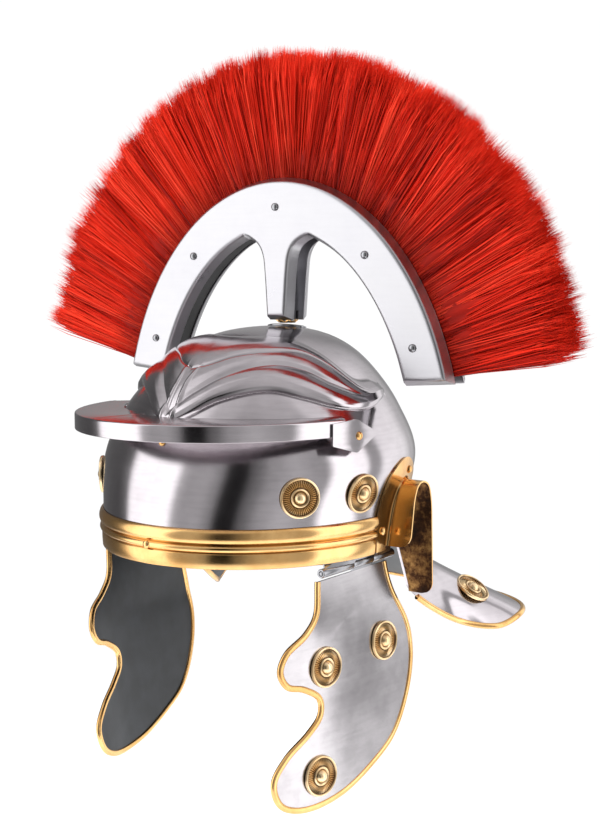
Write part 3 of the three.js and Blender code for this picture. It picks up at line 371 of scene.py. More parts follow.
def skin_point(turn, way):
    """The skin from the apex (way 0) past the shoulder (1) to the edge (2), neck guard and all."""
    turn, way = np.broadcast_arrays(np.asarray(turn, float), np.asarray(way, float))
    side = np.abs(turn)
    tilt = np.where(
        way <= 1,
        90 - (90 - SHOULDER_TILT) * way,
        np.where(
            side <= NECK_START,
            SHOULDER_TILT * (2 - way),
            SHOULDER_TILT * np.maximum(1 - 3 * (way - 1), 0),
        ),
    )
    point = bowl_point(side, tilt)
    v = np.clip((3 * (way - 1) - 1) / 2, 0, 1)[..., None]
    nape = bowl_point(side, 0 * side)
    outward = nape * (1, 1, 0)
    outward = outward / np.maximum(np.linalg.norm(outward, axis=-1, keepdims=True), 1e-9)
    bend = nape + outward * (NECK_SAG / 4) - np.array((0, 0, NECK_SAG))
    guard = nape * (1 - v) ** 2 + bend * 2 * v * (1 - v) + neck_edge(side) * v * v
    on_guard = ((side > NECK_START) & (way > 4 / 3))[..., None]
    point = np.where(on_guard, guard, point)
    return point * np.stack([np.where(turn < 0, -1, 1), np.ones_like(turn), np.ones_like(turn)], -1)


def skin_normal(turn, way):
    """Outward normal of the skin, by small steps along it."""
    turn, way = np.broadcast_arrays(np.asarray(turn, float), np.asarray(way, float))
    small = 0.01
    lower = np.maximum(way - small, 0.001)
    across_turn = skin_point(turn + small, way) - skin_point(turn - small, way)
    across_way = skin_point(turn, way + small) - skin_point(turn, lower)
    normal = np.cross(across_way, across_turn)
    normal /= np.maximum(np.linalg.norm(normal, axis=-1, keepdims=True), 1e-9)
    return np.where((way < 0.01)[..., None], np.array((0.0, 0.0, 1.0)), normal)


def skin_at(turn, way, offset, brows=False):
    """The skin moved out by an offset, and by the brows where asked."""
    point = skin_point(turn, way)
    raised = brow_raise(turn, point[..., 2]) if brows else 0 * point[..., 2]
    return point + skin_normal(turn, way) * (offset + raised)[..., None]


def side_normal(surface, y, z):
    """Normal of a surface that is given as X over the Y Z plane."""
    small = 0.5
    along_y = (surface(y + small, z) - surface(y - small, z)) / (2 * small)
    along_z = (surface(y, z + small) - surface(y, z - small)) / (2 * small)
    normal = np.stack([np.ones_like(along_y), -along_y, -along_z], -1)
    return unit(normal)


def rounded_line(points, count):
    """Points at even steps along a centripetal curve through the given ones."""
    points = np.asarray(points, float)
    ends = [2 * points[0] - points[1], *points, 2 * points[-1] - points[-2]]
    p = np.array(ends)
    dense = []
    for i in range(1, len(p) - 2):
        steps = [np.linalg.norm(p[k + 1] - p[k]) ** 0.5 for k in (i - 1, i, i + 1)]
        t0, t1, t2, t3 = np.cumsum([0, *steps])
        t = np.linspace(t1, t2, 40, endpoint=False)[:, None]
        a1 = (t1 - t) / (t1 - t0) * p[i - 1] + (t - t0) / (t1 - t0) * p[i]
        a2 = (t2 - t) / (t2 - t1) * p[i] + (t - t1) / (t2 - t1) * p[i + 1]
        a3 = (t3 - t) / (t3 - t2) * p[i + 1] + (t - t2) / (t3 - t2) * p[i + 2]
        b1 = (t2 - t) / (t2 - t0) * a1 + (t - t0) / (t2 - t0) * a2
        b2 = (t3 - t) / (t3 - t1) * a2 + (t - t1) / (t3 - t1) * a3
        dense.append((t2 - t) / (t2 - t1) * b1 + (t - t1) / (t2 - t1) * b2)
    line = np.vstack([*dense, p[-2][None]])
    return even_steps(line, count)


def even_steps(line, count):
    """Resamples a polyline at even steps."""
    length = np.concatenate([[0], np.cumsum(np.linalg.norm(np.diff(line, axis=0), axis=1))])
    at = np.linspace(0, length[-1], count)
    return np.stack([np.interp(at, length, line[:, k]) for k in range(line.shape[1])], -1)


# Meshes


def in_scene(name, data):
    """A new object in the scene."""
    thing = bpy.data.objects.new(name, data)
    bpy.context.scene.collection.objects.link(thing)
    return thing


def new_piece(name, points, faces, materials, body="root", replaces=(), slot=None, sharp=35, which=None):
    """A finished piece from points in millimetres, riding on its body."""
    mesh = bpy.data.meshes.new(name)
    mesh.from_pydata((np.asarray(points, float) * MM).tolist(), [], [list(map(int, f)) for f in faces])
    for material in materials:
        mesh.materials.append(material)
    if which is not None:
        mesh.polygons.foreach_set("material_index", np.asarray(which, dtype=np.int32))
    mesh.validate()
    piece = in_scene(name, mesh)
    smooth(piece, sharp)
    mount(piece, body, replaces, slot)
    return piece


def smooth(piece, sharp=35):
    piece.data.shade_smooth()
    piece.data.set_sharp_from_angle(angle=math.radians(sharp))


def mount(piece, body="root", replaces=(), slot=None):
    """Puts a piece on its body, in place of the solids that it stands for."""
    if body:
        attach(piece, body)
    if replaces:
        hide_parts(*replaces)


def grid_faces(rows, columns, closed_round=False, start=0, flip=False):
    """Four-sided faces over a grid of points that runs row by row."""
    r, c = np.meshgrid(
        np.arange(rows - 1), np.arange(columns if closed_round else columns - 1), indexing="ij"
    )
    following = (c + 1) % columns
    corners = [
        r * columns + c, r * columns + following, (r + 1) * columns + following, (r + 1) * columns + c
    ]
    faces = np.stack([start + k.ravel() for k in corners], -1)
    return faces[:, ::-1] if flip else faces


def swept(rings, capped=True, looped=False):
    """Points and faces of one closed section carried through several stations."""
    rings = np.asarray(rings, float)
    rows, columns = rings.shape[:2]
    faces = grid_faces(rows, columns, True).tolist()
    last = (rows - 1) * columns
    if looped:
        faces += [[last + k, last + (k + 1) % columns, (k + 1) % columns, k] for k in range(columns)]
    elif capped:
        faces.append(list(range(columns))[::-1])
        faces.append([last + k for k in range(columns)])
    return rings.reshape(-1, 3), faces


def domed(rings, top):
    """Closes rings with a flat foot below and a fan of triangles up to a middle point."""
    rows, sides = len(rings), len(rings[0])
    tip = rows * sides
    start = tip - sides
    faces = grid_faces(rows, sides, True).tolist()
    faces += [[start + k, start + (k + 1) % sides, tip] for k in range(sides)]
    faces.append(list(range(sides))[::-1])
    return np.vstack([*rings, [(0, 0, top)]]), faces


def frames_along(line, up):
    """Side and up directions along a line, up kept as close as it can be to the one given."""
    ahead = unit(np.gradient(line, axis=0))
    up = np.broadcast_to(np.asarray(up, float), line.shape)
    side = unit(np.cross(up, ahead))
    return side, np.cross(ahead, side)


def rolled_edge(line, up, section):
    """Carries a closed section, as side and up amounts, along a line."""
    side, above = frames_along(line, up)
    section = np.asarray(section, float)
    return line[:, None, :] + side[:, None, :] * section[None, :, 0:1] + above[:, None, :] * section[
        None, :, 1:2
    ]


def round_steps(count):
    """Angles at even steps round a circle."""
    return np.linspace(0, 2 * math.pi, count, endpoint=False)


def oval(half_side, half_up, count, power):
    """A rounded section; a power below one squares it off."""
    angle = round_steps(count)
    circle = np.stack([np.cos(angle), np.sin(angle)], -1)
    return (half_side, half_up) * (np.sign(circle) * np.abs(circle) ** power)


def inside_outline(points, outline):
    """Which points lie inside a closed outline."""
    x, y = points[:, 0][:, None], points[:, 1][:, None]
    a, b = outline, np.roll(outline, -1, axis=0)
    crosses = (a[:, 1] > y) != (b[:, 1] > y)
    with np.errstate(divide="ignore", invalid="ignore"):
        at = (b[:, 0] - a[:, 0]) * (y - a[:, 1]) / (b[:, 1] - a[:, 1]) + a[:, 0]
    return (crosses & (x < at)).sum(axis=1) % 2 == 1


def flat_mesh(outline, step):
    """Triangles that fill a closed outline, on a net of inner points."""
    outline = np.asarray(outline, float)
    low, high = outline.min(0), outline.max(0)
    xs = np.arange(low[0] + step / 2, high[0], step)
    ys = np.arange(low[1] + step / 2, high[1], step * 0.87)
    net = np.array([(x + (j % 2) * step / 2, y) for j, y in enumerate(ys) for x in xs])
    a, b = outline, np.roll(outline, -1, axis=0)
    if len(net):
        net = net[inside_outline(net, outline)]
    if len(net):
        run = b - a
        share = np.clip(((net[:, None] - a) * run).sum(-1) / np.maximum((run * run).sum(-1), 1e-9), 0, 1)
        far = np.linalg.norm(net[:, None] - (a + run * share[..., None]), axis=-1).min(1)
        net = net[far > step * 0.55]
    points = np.vstack([outline, net]) if len(net) else outline
    count = len(outline)
    edges = [(i, (i + 1) % count) for i in range(count)]
    made, _, faces, *_ = delaunay_2d_cdt([Vector(p) for p in points], edges, [], 1, 1e-6)
    made = np.array([tuple(p) for p in made])
    return made, faces, count


def plate(outline, surface, inner, outer, step):
    """A curved plate over the Y Z plane between two offsets of a surface, and where its faces lie."""
    flat, faces, count = flat_mesh(outline, step)
    y, z = flat[:, 0], flat[:, 1]
    base = np.stack([surface(y, z), y, z], -1)
    normal = side_normal(surface, y, z)
    area = sum(
        outline[i][0] * outline[(i + 1) % count][1] - outline[(i + 1) % count][0] * outline[i][1]
        for i in range(count)
    )
    total = len(flat)
    points = np.vstack([base + normal * outer, base + normal * inner])
    made = [list(f) if turned_left(flat, f) else list(f)[::-1] for f in faces]
    back = [[total + k for k in f[::-1]] for f in made]
    walls = []
    for i in range(count):
        a, b = i, (i + 1) % count
        if area > 0:
            walls.append([b, a, total + a, total + b])
        else:
            walls.append([a, b, total + b, total + a])
    which = [0] * len(made) + [1] * len(back) + [0] * len(walls)
    return points, made + back + walls, which


def turned_left(flat, face):
    """Whether a flat face runs counter-clockwise."""
    a, b, c = (flat[k] for k in face[:3])
    return (b[0] - a[0]) * (c[1] - a[1]) - (b[1] - a[1]) * (c[0] - a[0]) > 0


def mirrored(points, faces, side):
    """The same piece on the wearer's left, or turned over for the right."""
    if side == "left":
        return points, faces
    return np.asarray(points) * SIDES[side], [list(f)[::-1] for f in faces]


def turned_over(faces, side):
    """Faces kept for the wearer's left, reversed for the right."""
    return faces if side == "left" else [f[::-1] for f in faces]


def hung(points, side):
    """From a cheek guard's own frame to the helmet's, at the angle it hangs."""
    angle = -math.radians(HANG[side])
    x, y, z = np.asarray(points, float).T
    turned = np.stack(
        [x * math.cos(angle) + z * math.sin(angle), y, z * math.cos(angle) - x * math.sin(angle)], -1
    )
    turned += (HINGE_X, 0, HINGE_Z)
    return turned * SIDES[side]


# Nodes


def add(tree, kind, inputs=None, **settings):
    """Adds a node with its settings, and fills its inputs or links them; a node gives its first output."""
    node = tree.nodes.new(kind)
    for name, value in settings.items():
        setattr(node, name, value)
    for key, value in (inputs or {}).items():
        if isinstance(value, bpy.types.Node):
            value = value.outputs[0]
        if isinstance(value, bpy.types.NodeSocket):
            tree.links.new(value, node.inputs[key])
        else:
            node.inputs[key].default_value = value
    return node


def linear(hex_colour):
    """Linear light from an sRGB hex value."""
    parts = [int(hex_colour[i : i + 2], 16) / 255 for i in (1, 3, 5)]
    return (*[c / 12.92 if c <= 0.04045 else ((c + 0.055) / 1.055) ** 2.4 for c in parts], 1.0)


def per(size):
    """Pattern scale for features of a size in millimetres."""
    return 1 / (size * MM)


def ramp(tree, value, *stops, interpolation="LINEAR"):
    """A colour ramp from (place, grey, hex or linear colour) stops."""
    node = add(tree, "ShaderNodeValToRGB", {"Fac": value})
    node.color_ramp.interpolation = interpolation
    while len(node.color_ramp.elements) < len(stops):
        node.color_ramp.elements.new(0.5)
    for element, (place, colour) in zip(node.color_ramp.elements, stops):
        element.position = place
        if isinstance(colour, str):
            colour = linear(colour)
        element.color = colour if isinstance(colour, tuple) else (colour, colour, colour, 1)
    return node.outputs["Color"]


def new_material(name):
    material = bpy.data.materials.new(name)
    material.use_nodes = True
    material.node_tree.nodes.clear()
    return material, material.node_tree


def finished(tree, shader):
    add(tree, "ShaderNodeOutputMaterial", {"Surface": shader})


def round_the_head(tree, along, across):
    """A pattern stretched round the helmet's upright axis, as lines left by polishing round it."""
    place = add(tree, "ShaderNodeTexCoord").outputs["Object"]
    parts = add(tree, "ShaderNodeSeparateXYZ", {0: place})
    angle = add(tree, "ShaderNodeMath", {0: parts, 1: parts.outputs[1]}, operation="ARCTAN2")
    turn = add(tree, "ShaderNodeMath", {0: angle, 1: along}, operation="MULTIPLY")
    rise = add(tree, "ShaderNodeMath", {0: parts.outputs[2], 1: across}, operation="MULTIPLY")
    return add(tree, "ShaderNodeCombineXYZ", {0: turn, 1: rise})


# Polishing lines are hair-fine on real steel and are drawn this wide, so that the render shows
# them. Widths, lengths and the haze's patches are millimetres, LINES_ROUND counts per radian.
LINES_WIDE = 2.4
LINES_LONG = 33
LINES_ROUND = 4.0
HAZE = 71


def polished_steel(name, light, dark, roughness, brush=0.04, anisotropy=0.55, level=False, line=0.82):
    """Mild steel sheet, ground and buffed with a soft wheel.

    It reflects its surroundings as soft upright bands, with hair-fine lines and a faint warm haze.
    """
    material, tree = new_material(name)
    place = add(tree, "ShaderNodeTexCoord").outputs["Object"]
    if not level:
        lines_at = round_the_head(tree, LINES_ROUND, per(LINES_WIDE))
    else:
        lines_scale = (per(LINES_LONG), per(LINES_LONG), per(LINES_WIDE))
        lines_at = add(tree, "ShaderNodeMapping", {0: place, "Scale": lines_scale})
    lines = add(
        tree, "ShaderNodeTexNoise", {"Vector": lines_at, "Scale": 1.0, "Detail": 1.0, "Roughness": 0.5}
    )
    haze = add(
        tree, "ShaderNodeTexNoise", {"Vector": place, "Scale": per(HAZE), "Detail": 5.0, "Roughness": 0.6}
    )
    colour = ramp(tree, haze.outputs["Fac"], (0.36, dark), (0.62, light))
    fine = ramp(tree, lines.outputs["Fac"], (0.3, line), (0.6, 1.0))
    shaded = add(
        tree, "ShaderNodeMix", {"Factor": 1.0, 6: colour, 7: fine}, data_type="RGBA", blend_type="MULTIPLY"
    )
    rough = add(
        tree,
        "ShaderNodeMapRange",
        {
            "Value": haze.outputs["Fac"],
            "From Min": 0.3,
            "From Max": 0.7,
            "To Min": roughness * 0.85,
            "To Max": roughness * 1.2,
        },
    )
    bump = add(
        tree, "ShaderNodeBump", {"Strength": brush * 4, "Distance": 0.0001, "Height": lines.outputs["Fac"]}
    )
    tangent = add(tree, "ShaderNodeTangent", direction_type="RADIAL", axis="Z")
    shader = add(
        tree,
        "ShaderNodeBsdfPrincipled",
        {
            "Base Color": shaded.outputs[2],
            "Metallic": 1.0,
            "Roughness": rough,
            "Anisotropic": anisotropy,
            "Anisotropic Rotation": 0.25,
            "Normal": bump,
            "Tangent": tangent,
        },
    )
    finished(tree, shader)
    return material


def buffed_brass(name, light, dark, deep, roughness, stain=0.5):
    """Yellow brass sheet, pressed and buffed.

    It is bright on the crowns, with a browner film of tarnish in the brow band's grooves, painted shade in
    the rosettes' valleys and flutes, and a few dull patches.
    """
    material, tree = new_material(name)
    place = add(tree, "ShaderNodeTexCoord").outputs["Object"]
    patch = add(
        tree, "ShaderNodeTexNoise", {"Vector": place, "Scale": per(38), "Detail": 6.0, "Roughness": 0.62}
    )
    speck = add(
        tree, "ShaderNodeTexNoise", {"Vector": place, "Scale": per(2.4), "Detail": 3.0, "Roughness": 0.5}
    )
    # Mask towards the deep colour: tarnish in the brow band's grooves, painted shade in the rosettes'
    # valleys and flutes
    tarnish_and_shade = add(tree, "ShaderNodeAttribute", attribute_name="tarnish_and_shade").outputs["Fac"]
    clean = ramp(tree, patch.outputs["Fac"], (0.38, dark), (0.6, light))
    stained = add(
        tree,
        "ShaderNodeMix",
        {"Factor": tarnish_and_shade, 6: clean, 7: linear(deep)},
        data_type="RGBA",
    )
    rough = add(
        tree,
        "ShaderNodeMapRange",
        {
            "Value": patch.outputs["Fac"],
            "From Min": 0.35,
            "From Max": 0.65,
            "To Min": roughness * (1 + stain),
            "To Max": roughness * 0.8,
        },
    )
    bump = add(
        tree, "ShaderNodeBump", {"Strength": 0.08, "Distance": 0.0002, "Height": speck.outputs["Fac"]}
    )
    shader = add(
        tree,
        "ShaderNodeBsdfPrincipled",
        {
            "Base Color": stained.outputs[2],
            "Metallic": 1.0,
            "Roughness": rough,
            "Normal": bump,
        },
    )
    finished(tree, shader)
    return material


def tarnished_brass(name):
    """The unpolished back of brass sheet: a brown skin of tarnish, worn through in a mottle."""
    material, tree = new_material(name)
    place = add(tree, "ShaderNodeTexCoord").outputs["Object"]
    mottle = add(
        tree, "ShaderNodeTexNoise", {"Vector": place, "Scale": per(5.3), "Detail": 7.0, "Roughness": 0.72}
    )
    cloud = add(tree, "ShaderNodeTexNoise", {"Vector": place, "Scale": per(22), "Detail": 3.0})
    both = add(
        tree, "ShaderNodeMath", {0: mottle.outputs["Fac"], 1: cloud.outputs["Fac"]}, operation="MULTIPLY"
    )
    colour = ramp(
        tree, both, (0.14, "#1c0f08"), (0.24, "#4b2d17"), (0.31, "#8a6238"), (0.4, "#b98f55")
    )
    bump = add(
        tree, "ShaderNodeBump", {"Strength": 0.3, "Distance": 0.0004, "Height": mottle.outputs["Fac"]}
    )
    shader = add(
        tree,
        "ShaderNodeBsdfPrincipled",
        {"Base Color": colour, "Metallic": 0.75, "Roughness": 0.52, "Normal": bump},
    )
    finished(tree, shader)
    return material


def black_paint(name, light="#2b2e33", dark="#1d2024", roughness=0.42):
    """Black enamel brushed on the inside: slightly uneven, with a soft sheen and small scuffs."""
    material, tree = new_material(name)
    place = add(tree, "ShaderNodeTexCoord").outputs["Object"]
    uneven = add(tree, "ShaderNodeTexNoise", {"Vector": place, "Scale": per(17), "Detail": 4.0})
    scuffs = add(
        tree, "ShaderNodeTexNoise", {"Vector": place, "Scale": per(3.3), "Detail": 8.0, "Roughness": 0.75}
    )
    colour = ramp(tree, uneven.outputs["Fac"], (0.35, dark), (0.65, light))
    worn = ramp(tree, scuffs.outputs["Fac"], (0.68, 0.0), (0.76, 0.35))
    mixed = add(tree, "ShaderNodeMix", {"Factor": worn, 6: colour, 7: linear("#5a5e64")}, data_type="RGBA")
    bump = add(
        tree, "ShaderNodeBump", {"Strength": 0.12, "Distance": 0.0006, "Height": uneven.outputs["Fac"]}
    )
    shader = add(
        tree,
        "ShaderNodeBsdfPrincipled",
        {"Base Color": mixed.outputs[2], "Roughness": roughness, "Normal": bump},
    )
    finished(tree, shader)
    return material


def dyed_bristle(name, light, mid, dark):
    """Stiff dyed bristle: each hair has its own shade of red, and painted shade makes it darker at the root
    and paler at the tip.
    """
    material, tree = new_material(name)
    shade = add(tree, "ShaderNodeAttribute", attribute_name="shade").outputs["Fac"]
    reach = add(tree, "ShaderNodeAttribute", attribute_name="reach").outputs["Fac"]
    own = ramp(tree, shade, (0.0, dark), (0.45, mid), (1.0, light))
    # Painted shade: the colour darkens towards the root, where the fan is deep
    root = ramp(tree, reach, (0.0, 0.3), (0.35, 0.85), (1.0, 1.0))
    colour = add(
        tree, "ShaderNodeMix", {"Factor": 1.0, 6: own, 7: root}, data_type="RGBA", blend_type="MULTIPLY"
    )
    shader = add(
        tree,
        "ShaderNodeBsdfPrincipled",
        {"Base Color": colour.outputs[2], "Roughness": 0.6, "Specular IOR Level": 0.15},
    )
    finished(tree, shader)
    return material


MATERIALS = {}


def look(key):
    """The helmet's finishes, each made once."""
    if not MATERIALS:
        helmet = bpy.context.scene.helmet
        MATERIALS.update(
            skull=polished_steel(
                "polished_mild_steel_sheet",
                tuple(helmet.steel_colour),
                "#b9b3b7",
                helmet.steel_roughness,
                0.006,
                line=0.95,
            ),
            plain=polished_steel(
                "brushed_mild_steel_plate", "#ccc8cb", "#b0acaf", 0.22, 0.006, 0.4, True, 0.95
            ),
            satin=polished_steel(
                "satin_bright_steel_pressing", "#c4c3c6", "#bab9bd", 0.3, 0.01, 0.0, True, 0.98
            ),
            bright=polished_steel("turned_bright_steel", "#a9a9ad", "#97979b", 0.18, 0.02, 0.0, True, 0.92),
            brass=buffed_brass(
                "buffed_yellow_brass_sheet", tuple(helmet.brass_colour), "#dcaa6a", "#7a4c1c", 0.18
            ),
            # Its deep colour is the painted shade in the rosettes' valleys and flutes
            stamped=buffed_brass("stamped_gilding_brass", "#ffe4b8", "#f3d09a", "#64380f", 0.26),
            tarnish=tarnished_brass("tarnished_brass_back"),
            paint=black_paint("black_brushed_enamel"),
            wood=black_paint("black_stained_wood", "#232324", "#151516", 0.6),
            bristle=dyed_bristle("dyed_red_bristle", "#fb4a30", tuple(helmet.bristle_colour), "#7d0903"),
        )
    return MATERIALS[key]


# Skull


def skull_grid():
    """Turns and ways of the skull's net, whose rows follow the lines of the brows."""
    half = np.concatenate([np.arange(0, 16, 0.4), np.arange(16, 112, 0.75), np.arange(112, 180, 1.7)])
    turns = np.concatenate([half, [180], -half[:0:-1]])
    rising = [0, 0.015, 0.05, 0.085, 0.12, 0.17, 0.23, 0.3, 0.38, 0.46]
    roll = np.array([*rising, 0.54, 0.62, 0.7, 0.77, 0.83, 0.88, 0.92, 0.955, 0.98])
    at = np.concatenate([roll, 1 + roll, 2 + roll, [3]])[::-1]
    lines = np.stack(brow_lines(np.abs(turns)))
    first = np.minimum(at.astype(int), 2)
    height = lines[first] + (lines[first + 1] - lines[first]) * (at - first)[:, None]
    brow = (90 - tilt_at(height)) / (90 - SHOULDER_TILT)
    crown = brow[:1] * np.array([0, 0.04, 0.12, 0.22, 0.33, 0.45, 0.58, 0.7, 0.8, 0.88, 0.94, 0.98])[
        :, None
    ]
    side = brow[-1:] + (1 - brow[-1:]) * np.linspace(0, 1, 26)[1:, None]
    lower = np.linspace(1, 2, 27)[1:, None] + 0 * turns
    return turns, np.vstack([crown, brow, side, lower])


def make_skull():
    turns, way = skull_grid()
    turn = np.broadcast_to(turns, way.shape)
    outer = skin_at(turn, way, np.zeros(way.shape), brows=True)
    inner_ways = np.concatenate([[0, 0.03, 0.08], np.linspace(0.14, 2, 46)])
    way_in, turn_in = np.meshgrid(inner_ways, turns, indexing="ij")
    inner = skin_at(turn_in, way_in, np.full(way_in.shape, -PLATE))
    columns = len(turns)
    outer[0] = outer[0].mean(0)
    inner[0] = inner[0].mean(0)
    start = outer.shape[0] * columns
    outer_faces = grid_faces(outer.shape[0], columns, True, 0, True)
    inner_faces = grid_faces(inner.shape[0], columns, True, start, False)
    outer_end = (outer.shape[0] - 1) * columns
    inner_end = start + (inner.shape[0] - 1) * columns
    ring = np.arange(columns)
    following = (ring + 1) % columns
    border = np.stack(
        [outer_end + ring, outer_end + following, inner_end + following, inner_end + ring], -1
    )
    faces = np.vstack([outer_faces, inner_faces, border[:, ::-1]])
    which = [0] * len(outer_faces) + [1] * len(inner_faces) + [0] * len(border)
    points = np.vstack([outer.reshape(-1, 3), inner.reshape(-1, 3)])
    piece = new_piece("skull", points, faces, [look("skull"), look("paint")], None, which=which)
    merged(piece, 0.01)
    for side in SIDES:
        cut(piece, *ear_cutter(side))
    smooth(piece, 50)
    mount(piece, "root", ["bowl"], "polished_steel")


def merged(piece, reach=0.02):
    """Joins points that fall together and turns every face outwards."""
    work = bmesh.new()
    work.from_mesh(piece.data)
    bmesh.ops.remove_doubles(work, verts=work.verts, dist=reach * MM)
    bmesh.ops.dissolve_degenerate(work, edges=work.edges, dist=1e-7)
    bmesh.ops.recalc_face_normals(work, faces=work.faces)
    work.to_mesh(piece.data)
    work.free()


def merged_piece(name, points, faces, finishes, nodes, slot, sharp, **others):
    """A piece whose points are joined before its last smoothing.

    others may name its body, how far points join, which finish each face has, its point
    attributes (marks), and the angle above which edges are kept sharp from before the joining.
    """
    piece = new_piece(
        name, points, faces, finishes, None, which=others.get("which"), sharp=others.get("keep", 35)
    )
    for mark, values in others.get("marks", {}).items():
        set_attribute(piece, mark, values)
    merged(piece, others.get("reach", 0.02))
    smooth(piece, sharp)
    mount(piece, others.get("body", "root"), nodes, slot)


def cut(piece, points, faces):
    """Takes a closed shape out of a piece."""
    tool = new_piece("cutter", points, faces, [piece.data.materials[0]], None)
    merged(tool)
    trim = piece.modifiers.new("cut", "BOOLEAN")
    trim.object = tool
    trim.operation = "DIFFERENCE"
    trim.solver = "MANIFOLD"
    graph = bpy.context.evaluated_depsgraph_get()
    made = bpy.data.meshes.new_from_object(piece.evaluated_get(graph))
    if not made.polygons:
        raise RuntimeError("the cut left nothing of " + piece.name)
    piece.modifiers.clear()
    old = piece.data
    piece.data = made
    bpy.data.meshes.remove(old)
    bpy.data.objects.remove(tool)


def ear_line(offset, count=60):
    """The ear arch in the side plane, moved sideways by an amount."""
    points = np.stack([EAR_CENTRE + EAR_HALF * EAR_ARCH["side"], EAR_TOP * EAR_ARCH["rise"]], -1)
    line = rounded_line(points, count)
    ahead = unit(np.gradient(line, axis=0))
    return line + np.stack([-ahead[:, 1], ahead[:, 0]], -1) * offset


def ear_cutter(side):
    """The shape that opens the skull over an ear."""
    line = ear_line(-EAR_WALL / 2)
    foot, near, far = -67, 53, 136
    outline = np.vstack([[line[0][0], foot], line, [line[-1][0], foot]])
    low = np.insert(outline, 0, near, axis=1)
    high = np.insert(outline, 0, far, axis=1)
    points, faces = swept(np.stack([low, high]))
    return mirrored(points, faces, side)


def make_neck_trim():
    turns = np.linspace(NECK_FRONT, 360 - NECK_FRONT, 200)
    signed = np.where(turns > 180, turns - 360, turns)
    ways = np.full_like(signed, 2.0)
    line = even_steps(skin_at(signed, ways, np.full_like(signed, -PLATE / 2)), 240)
    normals = even_steps(skin_normal(signed, ways), 240)
    rings = rolled_edge(line, normals, oval(TRIM_RADIUS, TRIM_RADIUS * 0.92, 16, 0.85))
    merged_piece("neck_edge_brass", *swept(rings), [look("brass")], ["neck_trim"], "brass", 50, keep=50)


# Brow band, brow peak and its end plates


def make_brow_band():
    outline = np.stack([BAND_PROFILE["out"], BAND_PROFILE["rise"] * BAND_HEIGHT], -1)
    back = np.array([(GAP, rise * BAND_HEIGHT) for rise in (1, 0.66, 0.33, 0)])
    section = np.vstack([outline, back])
    turns = np.linspace(-BAND_TURN, BAND_TURN, 181)
    rings = []
    for turn in turns:
        z = BAND_LOW + section[:, 1]
        point = bowl_point(turn, tilt_at(z))
        outward = unit(point * (1, 1, 0))
        point[:, 2] = z
        rings.append(point + outward * section[:, :1])
    # The grooves hold a browner film: full at 0.5 mm off the bowl, none from 1.7 mm
    depth = np.clip((1.7 - section[:, 0]) / 1.2, 0, 1)
    marks = {"tarnish_and_shade": np.tile(depth, len(turns)) * 0.7}
    merged_piece(
        "brow_band_brass", *swept(rings), [look("brass")], ["brow_band"], "brass", 60, keep=60, marks=marks
    )


def set_attribute(piece, name, values):
    layer = piece.data.attributes.new(name, "FLOAT", "POINT")
    layer.data.foreach_set("value", np.asarray(values, dtype=np.float32))


def brow_reach(turn):
    """How far the brows stand out where the peak meets the bowl near a turn."""
    heights = np.array([PEAK_LEVEL - PEAK_PLATE, PEAK_LEVEL + GAP])
    near = turn + np.array([-5, -2.5, 0, 2.5, 5])
    return float(brow_raise(near[:, None], heights[None, :]).max())


def filleted(corners, radius, count=5):
    """Rounds each corner of an open or closed section with an arc."""
    made = []
    total = len(corners)
    for i, corner in enumerate(corners):
        before, after = corners[i - 1] - corner, corners[(i + 1) % total] - corner
        reach = min(radius[i], 0.45 * np.linalg.norm(before), 0.45 * np.linalg.norm(after))
        if reach < 0.01:
            made.append(corner)
            continue
        start = corner + unit(before) * reach
        end = corner + unit(after) * reach
        for t in np.linspace(0, 1, count):
            made.append(start * (1 - t) ** 2 + corner * 2 * t * (1 - t) + end * t * t)
    return np.array(made)


def make_brow_peak():
    rings = []
    for turn_here in np.linspace(-PEAK_TURN, PEAK_TURN, 161):
        angle = math.radians(turn_here)
        crease = np.array([PEAK_HALF_WIDTH * math.sin(angle), PEAK_CENTRE - PEAK_LENGTH * math.cos(angle)])
        turn = math.degrees(math.atan2(crease[0], -crease[1]))
        root = bowl_point(turn, tilt_at(PEAK_LEVEL - PEAK_PLATE))[:2]
        root = root + unit(root) * (brow_reach(turn) + PEAK_CLEAR)
        across = crease - root
        width = np.linalg.norm(across)
        across /= width
        inner = width - PEAK_PLATE
        corners = np.array(
            [
                (0, 0),
                (width, 0),
                (width, -PEAK_FLANGE),
                (inner, -PEAK_FLANGE),
                (inner, -PEAK_PLATE),
                (0, -PEAK_PLATE),
            ]
        )
        section = filleted(corners, (0.4, 1.3, 0.5, 0.5, 0.8, 0.4))
        flat = root + across * section[:, :1]
        rings.append(np.column_stack([flat, PEAK_LEVEL + section[:, 1]]))
    merged_piece("brow_peak_steel", *swept(rings), [look("skull")], ["brow_peak"], "polished_steel", 40)


def end_plate_side(y, z):
    """The peak's rim, or the bowl where that stands further out; the same at every height."""
    share = np.clip((np.asarray(y, float) - PEAK_CENTRE) / PEAK_LENGTH, -1, 1)
    rim = PEAK_HALF_WIDTH * np.sqrt(1 - share * share)
    return np.maximum(rim, bowl_side(y, np.full_like(np.asarray(y, float), END_PLATE_MIDDLE)))


def make_end_plates():
    middle = (END_PLATE_FRONT + END_PLATE_BACK) / 2
    half = END_PLATE_TALL / 2
    corners = np.array(
        [
            (END_PLATE_FRONT, END_PLATE_MIDDLE - half * 0.45),
            (middle, END_PLATE_MIDDLE - half),
            (END_PLATE_BACK, END_PLATE_MIDDLE - half * 0.1),
            (END_PLATE_BACK, END_PLATE_MIDDLE + half * 0.1),
            (middle, END_PLATE_MIDDLE + half),
            (END_PLATE_FRONT, END_PLATE_MIDDLE + half * 0.85),
        ]
    )
    outline = filleted(corners, (0.5, 1.5, 1, 1, 1.5, 0.5), 4)
    for side in SIDES:
        points, faces, _ = plate(outline, end_plate_side, GAP, GAP + PEAK_PLATE, 3)
        points, faces = mirrored(points, faces, side)
        new_piece(
            f"peak_end_steel_{side}",
            points,
            faces,
            [look("skull")],
            "root",
            [f"peak_end_plate_{side}"],
            "polished_steel",
        )


# Ear guards


